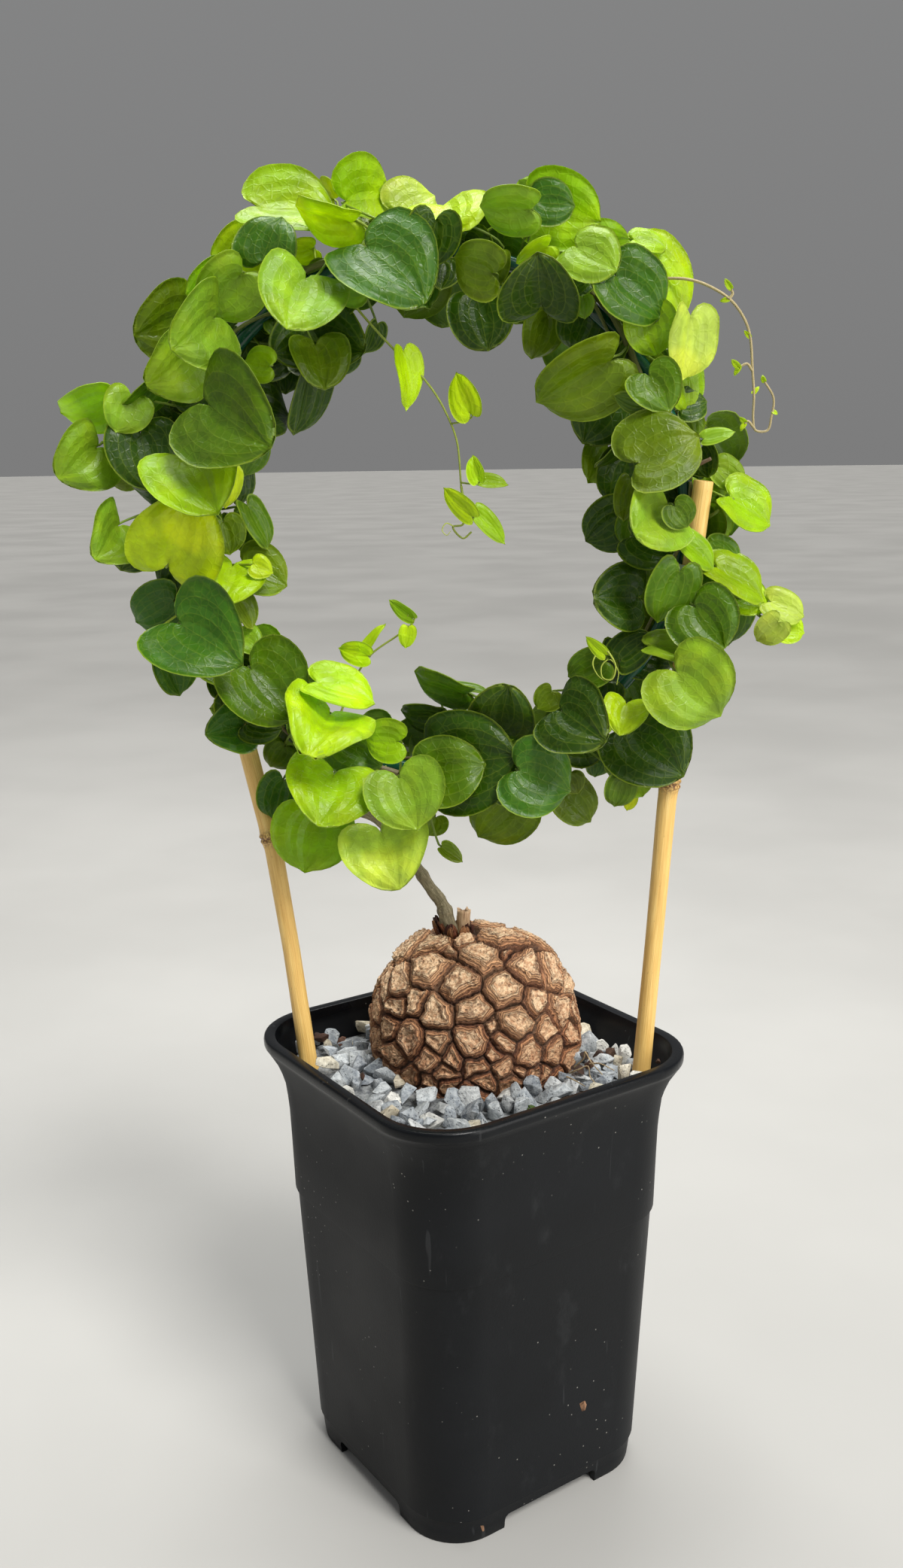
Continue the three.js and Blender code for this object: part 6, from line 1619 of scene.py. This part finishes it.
# Small leaf buds on the bare shoot: foot, tip and width.
BUD_LEAVES = [
    ((103.6, -0.5, 509), (101, -1, 512.5), 2.6), ((103.1, 0, 505.2), (99.5, 0, 504.4), 2.2),
    ((107.5, -0.4, 479.8), (104.4, -1, 482.6), 2.8), ((107.8, 0, 479.9), (105.6, 0, 476.8), 2.4),
    ((110.5, 0, 458.5), (108.6, -0.5, 456), 2.4), ((110.8, 0, 459), (108.2, 0, 461), 2.2),
    ((113.2, 0, 470), (115.6, 0, 472.6), 2.0), ((121, 0, 463), (123, 0, 462), 1.8),
    ((117.5, 0, 474.3), (116.2, 0, 476.6), 2.2), ((111.4, 0, 491), (109, 0, 493.4), 1.9),
]
# Fine curling ends: points on the way, and the radius at the foot.
CURLS = [
    ([(56, -19, 374), (59, -20, 371), (61.5, -21, 366), (60, -22, 361), (56.5, -21, 361.5), (56, -20, 366),
      (59, -19, 368.5), (62.5, -19, 364), (62, -20, 358.5)], 0.42),
    ([(54, -18, 371), (52.5, -20, 367), (54.5, -21, 362.5), (58, -21, 359.8)], 0.36),
    ([(-24.5, -1, 378.6), (-21.8, -1.5, 380.6), (-20.6, -2, 384), (-22.6, -2.4, 385.6),
      (-23.8, -2, 383.4)], 0.3),
    ([(-3.5, -6.4, 420.2), (-6.6, -7, 421.5), (-8.2, -7.4, 418.8), (-6.4, -7.2, 416.8),
      (-4.8, -7, 418.4)], 0.28),
]
BARE_TWIG = [(84, -3, 437), (87, -5, 440.5), (92, -6, 443), (97.5, -6, 445.5)]
YOUNG_THICKNESS = 0.26


def shoot_piece(name, slot, node, stems, radius, leaves, tone, seed, young=()):
    draw = np.random.default_rng(seed)
    skin, blades = Skin(), Skin()
    paths = [spline(path, 16 * len(path)) for path in stems]
    for path in paths:
        skin.bar(path, np.linspace(radius, 0.72 * radius, len(path)), 8, tone)
    everywhere = np.vstack(paths)
    for row in leaves:
        leaf = listed_leaf(row)
        near = everywhere[np.argmin(np.linalg.norm(everywhere - leaf.foot, axis=1))]
        shade = leaf_tone(row[8], draw)
        blade(blades, leaf, YOUNG_OUTLINE, draw, shade, draw.uniform(-0.05, 0.05), YOUNG_THICKNESS)
        stalk(skin, leaf, [leaf.foot, near], tone, 0.38)
    for foot, tip, width in young:
        foot, tip = np.array(foot, float), np.array(tip, float)
        along = unit(tip - foot)
        across, face = turned(along, unit(EYE - foot), draw.uniform(-0.5, 0.5))
        leaf = Leaf(foot, along, across, face, np.linalg.norm(tip - foot), width)
        blade(blades, leaf, YOUNG_OUTLINE, draw, leaf_tone(YELLOW, draw), -0.1, YOUNG_THICKNESS)
    skin.piece(name + "_stem", slot, STEM, node)
    if blades.count:
        blades.piece(name + "_leaves", slot, LEAF, node)


def make_curls():
    skin = Skin()
    for path, radius in CURLS:
        line = spline(path, 14 * len(path))
        skin.bar(line, np.linspace(radius, 0.45 * radius, len(line)), 7, colour(190, 205, 80))
    skin.bar(spline(BARE_TWIG, SHOOT_STEPS), np.linspace(1.1, 0.7, SHOOT_STEPS), 9, colour(96, 74, 50))
    skin.piece("curling_ends", "tendril", STEM)


# Floor, light and camera


FLOOR_RADII = (40000, 4000, 1500, 600, 200)
FLOOR_SIDES = 96


def make_floor():
    turns = np.linspace(0, TAU, FLOOR_SIDES, endpoint=False)
    rings = [[[r * math.cos(t), r * math.sin(t), 0] for t in turns] for r in FLOOR_RADII]
    faces = ring_faces(len(rings), FLOOR_SIDES)
    # The first ring is the floor's outer edge, so its cap goes.
    del faces[-2]
    mesh = bpy.data.meshes.new("studio_floor")
    mesh.from_pydata((np.vstack(rings) * 0.001).tolist(), [], faces)
    mesh.materials.append(floor_material())
    floor = bpy.data.objects.new("studio_floor", mesh)
    bpy.context.scene.collection.objects.link(floor)


def softbox(name, place, target, size, power, tint):
    data = bpy.data.lights.new(name, "AREA")
    data.shape = "RECTANGLE"
    data.size, data.size_y = size
    data.energy = power
    data.color = tint
    lamp = bpy.data.objects.new(name, data)
    lamp.location = place
    lamp.rotation_euler = (Vector(target) - Vector(place)).to_track_quat("-Z", "Y").to_euler()
    lamp.visible_camera = False
    bpy.context.scene.collection.objects.link(lamp)


def make_studio():
    sun = bpy.data.lights.new("key_light", "SUN")
    sun.energy, sun.angle, sun.color = 3.1, math.radians(22), (1.0, 0.985, 0.95)
    key = bpy.data.objects.new("key_light", sun)
    key.rotation_euler = Vector((-0.75, 0.85, -1.39)).to_track_quat("-Z", "Y").to_euler()
    bpy.context.scene.collection.objects.link(key)
    softbox("fill_light", (-1.3, -0.7, 1.3), (0, 0, 0.42), (1.2, 1.0), 1.2, (0.96, 0.98, 1.0))
    softbox("side_light", (1.35, -0.75, 0.6), (0, 0, 0.25), (0.9, 1.1), 11, (1.0, 0.985, 0.95))
    softbox("top_light", (-0.1, 0.4, 1.75), (0, 0, 0.42), (1.0, 0.8), 26, (1.0, 1.0, 0.98))
    world = bpy.data.worlds.new("studio")
    world.use_nodes = True
    tree = world.node_tree
    tree.nodes.clear()
    place = tree.nodes.new("ShaderNodeTexCoord")
    split = tree.nodes.new("ShaderNodeSeparateXYZ")
    ramp = tree.nodes.new("ShaderNodeValToRGB")
    back = tree.nodes.new("ShaderNodeBackground")
    out = tree.nodes.new("ShaderNodeOutputWorld")
    tree.links.new(place.outputs["Generated"], split.inputs[0])
    tree.links.new(split.outputs["Z"], ramp.inputs[0])
    tree.links.new(ramp.outputs[0], back.inputs["Color"])
    tree.links.new(back.outputs[0], out.inputs["Surface"])
    ramp.color_ramp.elements[0].color = (0.6, 0.6, 0.6, 1)
    ramp.color_ramp.elements[1].color = (0.86, 0.87, 0.88, 1)
    back.inputs["Strength"].default_value = 0.34
    bpy.context.scene.world = world
    bpy.context.scene.view_settings.view_transform = "Standard"


def make_camera():
    data = bpy.data.cameras.new("camera")
    data.sensor_width = 36
    data.sensor_fit = "AUTO"
    data.lens = 36 * FOCAL_LENGTH / IMAGE_HEIGHT
    data.clip_start = 0.02
    data.clip_end = 200
    camera = bpy.data.objects.new("camera", data)
    right, up = Vector(CAMERA_RIGHT), Vector(CAMERA_UP)
    turn = Matrix((right, up, right.cross(up))).transposed()
    camera.matrix_world = Matrix.Translation(placed(CAMERA_PLACE)) @ turn.to_4x4()
    bpy.context.scene.collection.objects.link(camera)
    bpy.context.scene.camera = camera


make_camera()
make_studio()
make_floor()
make_pot()
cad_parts["soil"].data.materials.clear()
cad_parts["soil"].data.materials.append(SOIL)
make_gravel()
make_crumbs()
make_tuber()
make_stem()
make_stub()
make_scales()
make_hoop()
make_cane("cane_left_bamboo", CANE_LEFT, 290, "cane_left")
make_cane("cane_right_bamboo", CANE_RIGHT, 315.5, "cane_right")
make_tie("tie_left_film", CANE_LEFT, 396, -1, "tie_left")
make_tie("tie_right_film", CANE_RIGHT, 403, 1, "tie_right")
make_vine()
shoot_piece("hanging", "young_leaf", "hanging_shoot", [HANGING_STEM, HANGING_TIP], 0.55, HANGING_LEAVES,
            colour(150, 166, 62), 41)
shoot_piece("lower_inner", "young_leaf", "lower_inner_shoot", [LOWER_STEM], 0.55, LOWER_LEAVES_YOUNG,
            colour(150, 166, 62), 42)
shoot_piece("tendril", "tendril", "right_tendril", [TENDRIL_STEM, *TENDRIL_BUDS], 0.62, [],
            colour(184, 168, 122), 43, BUD_LEAVES)
make_curls()
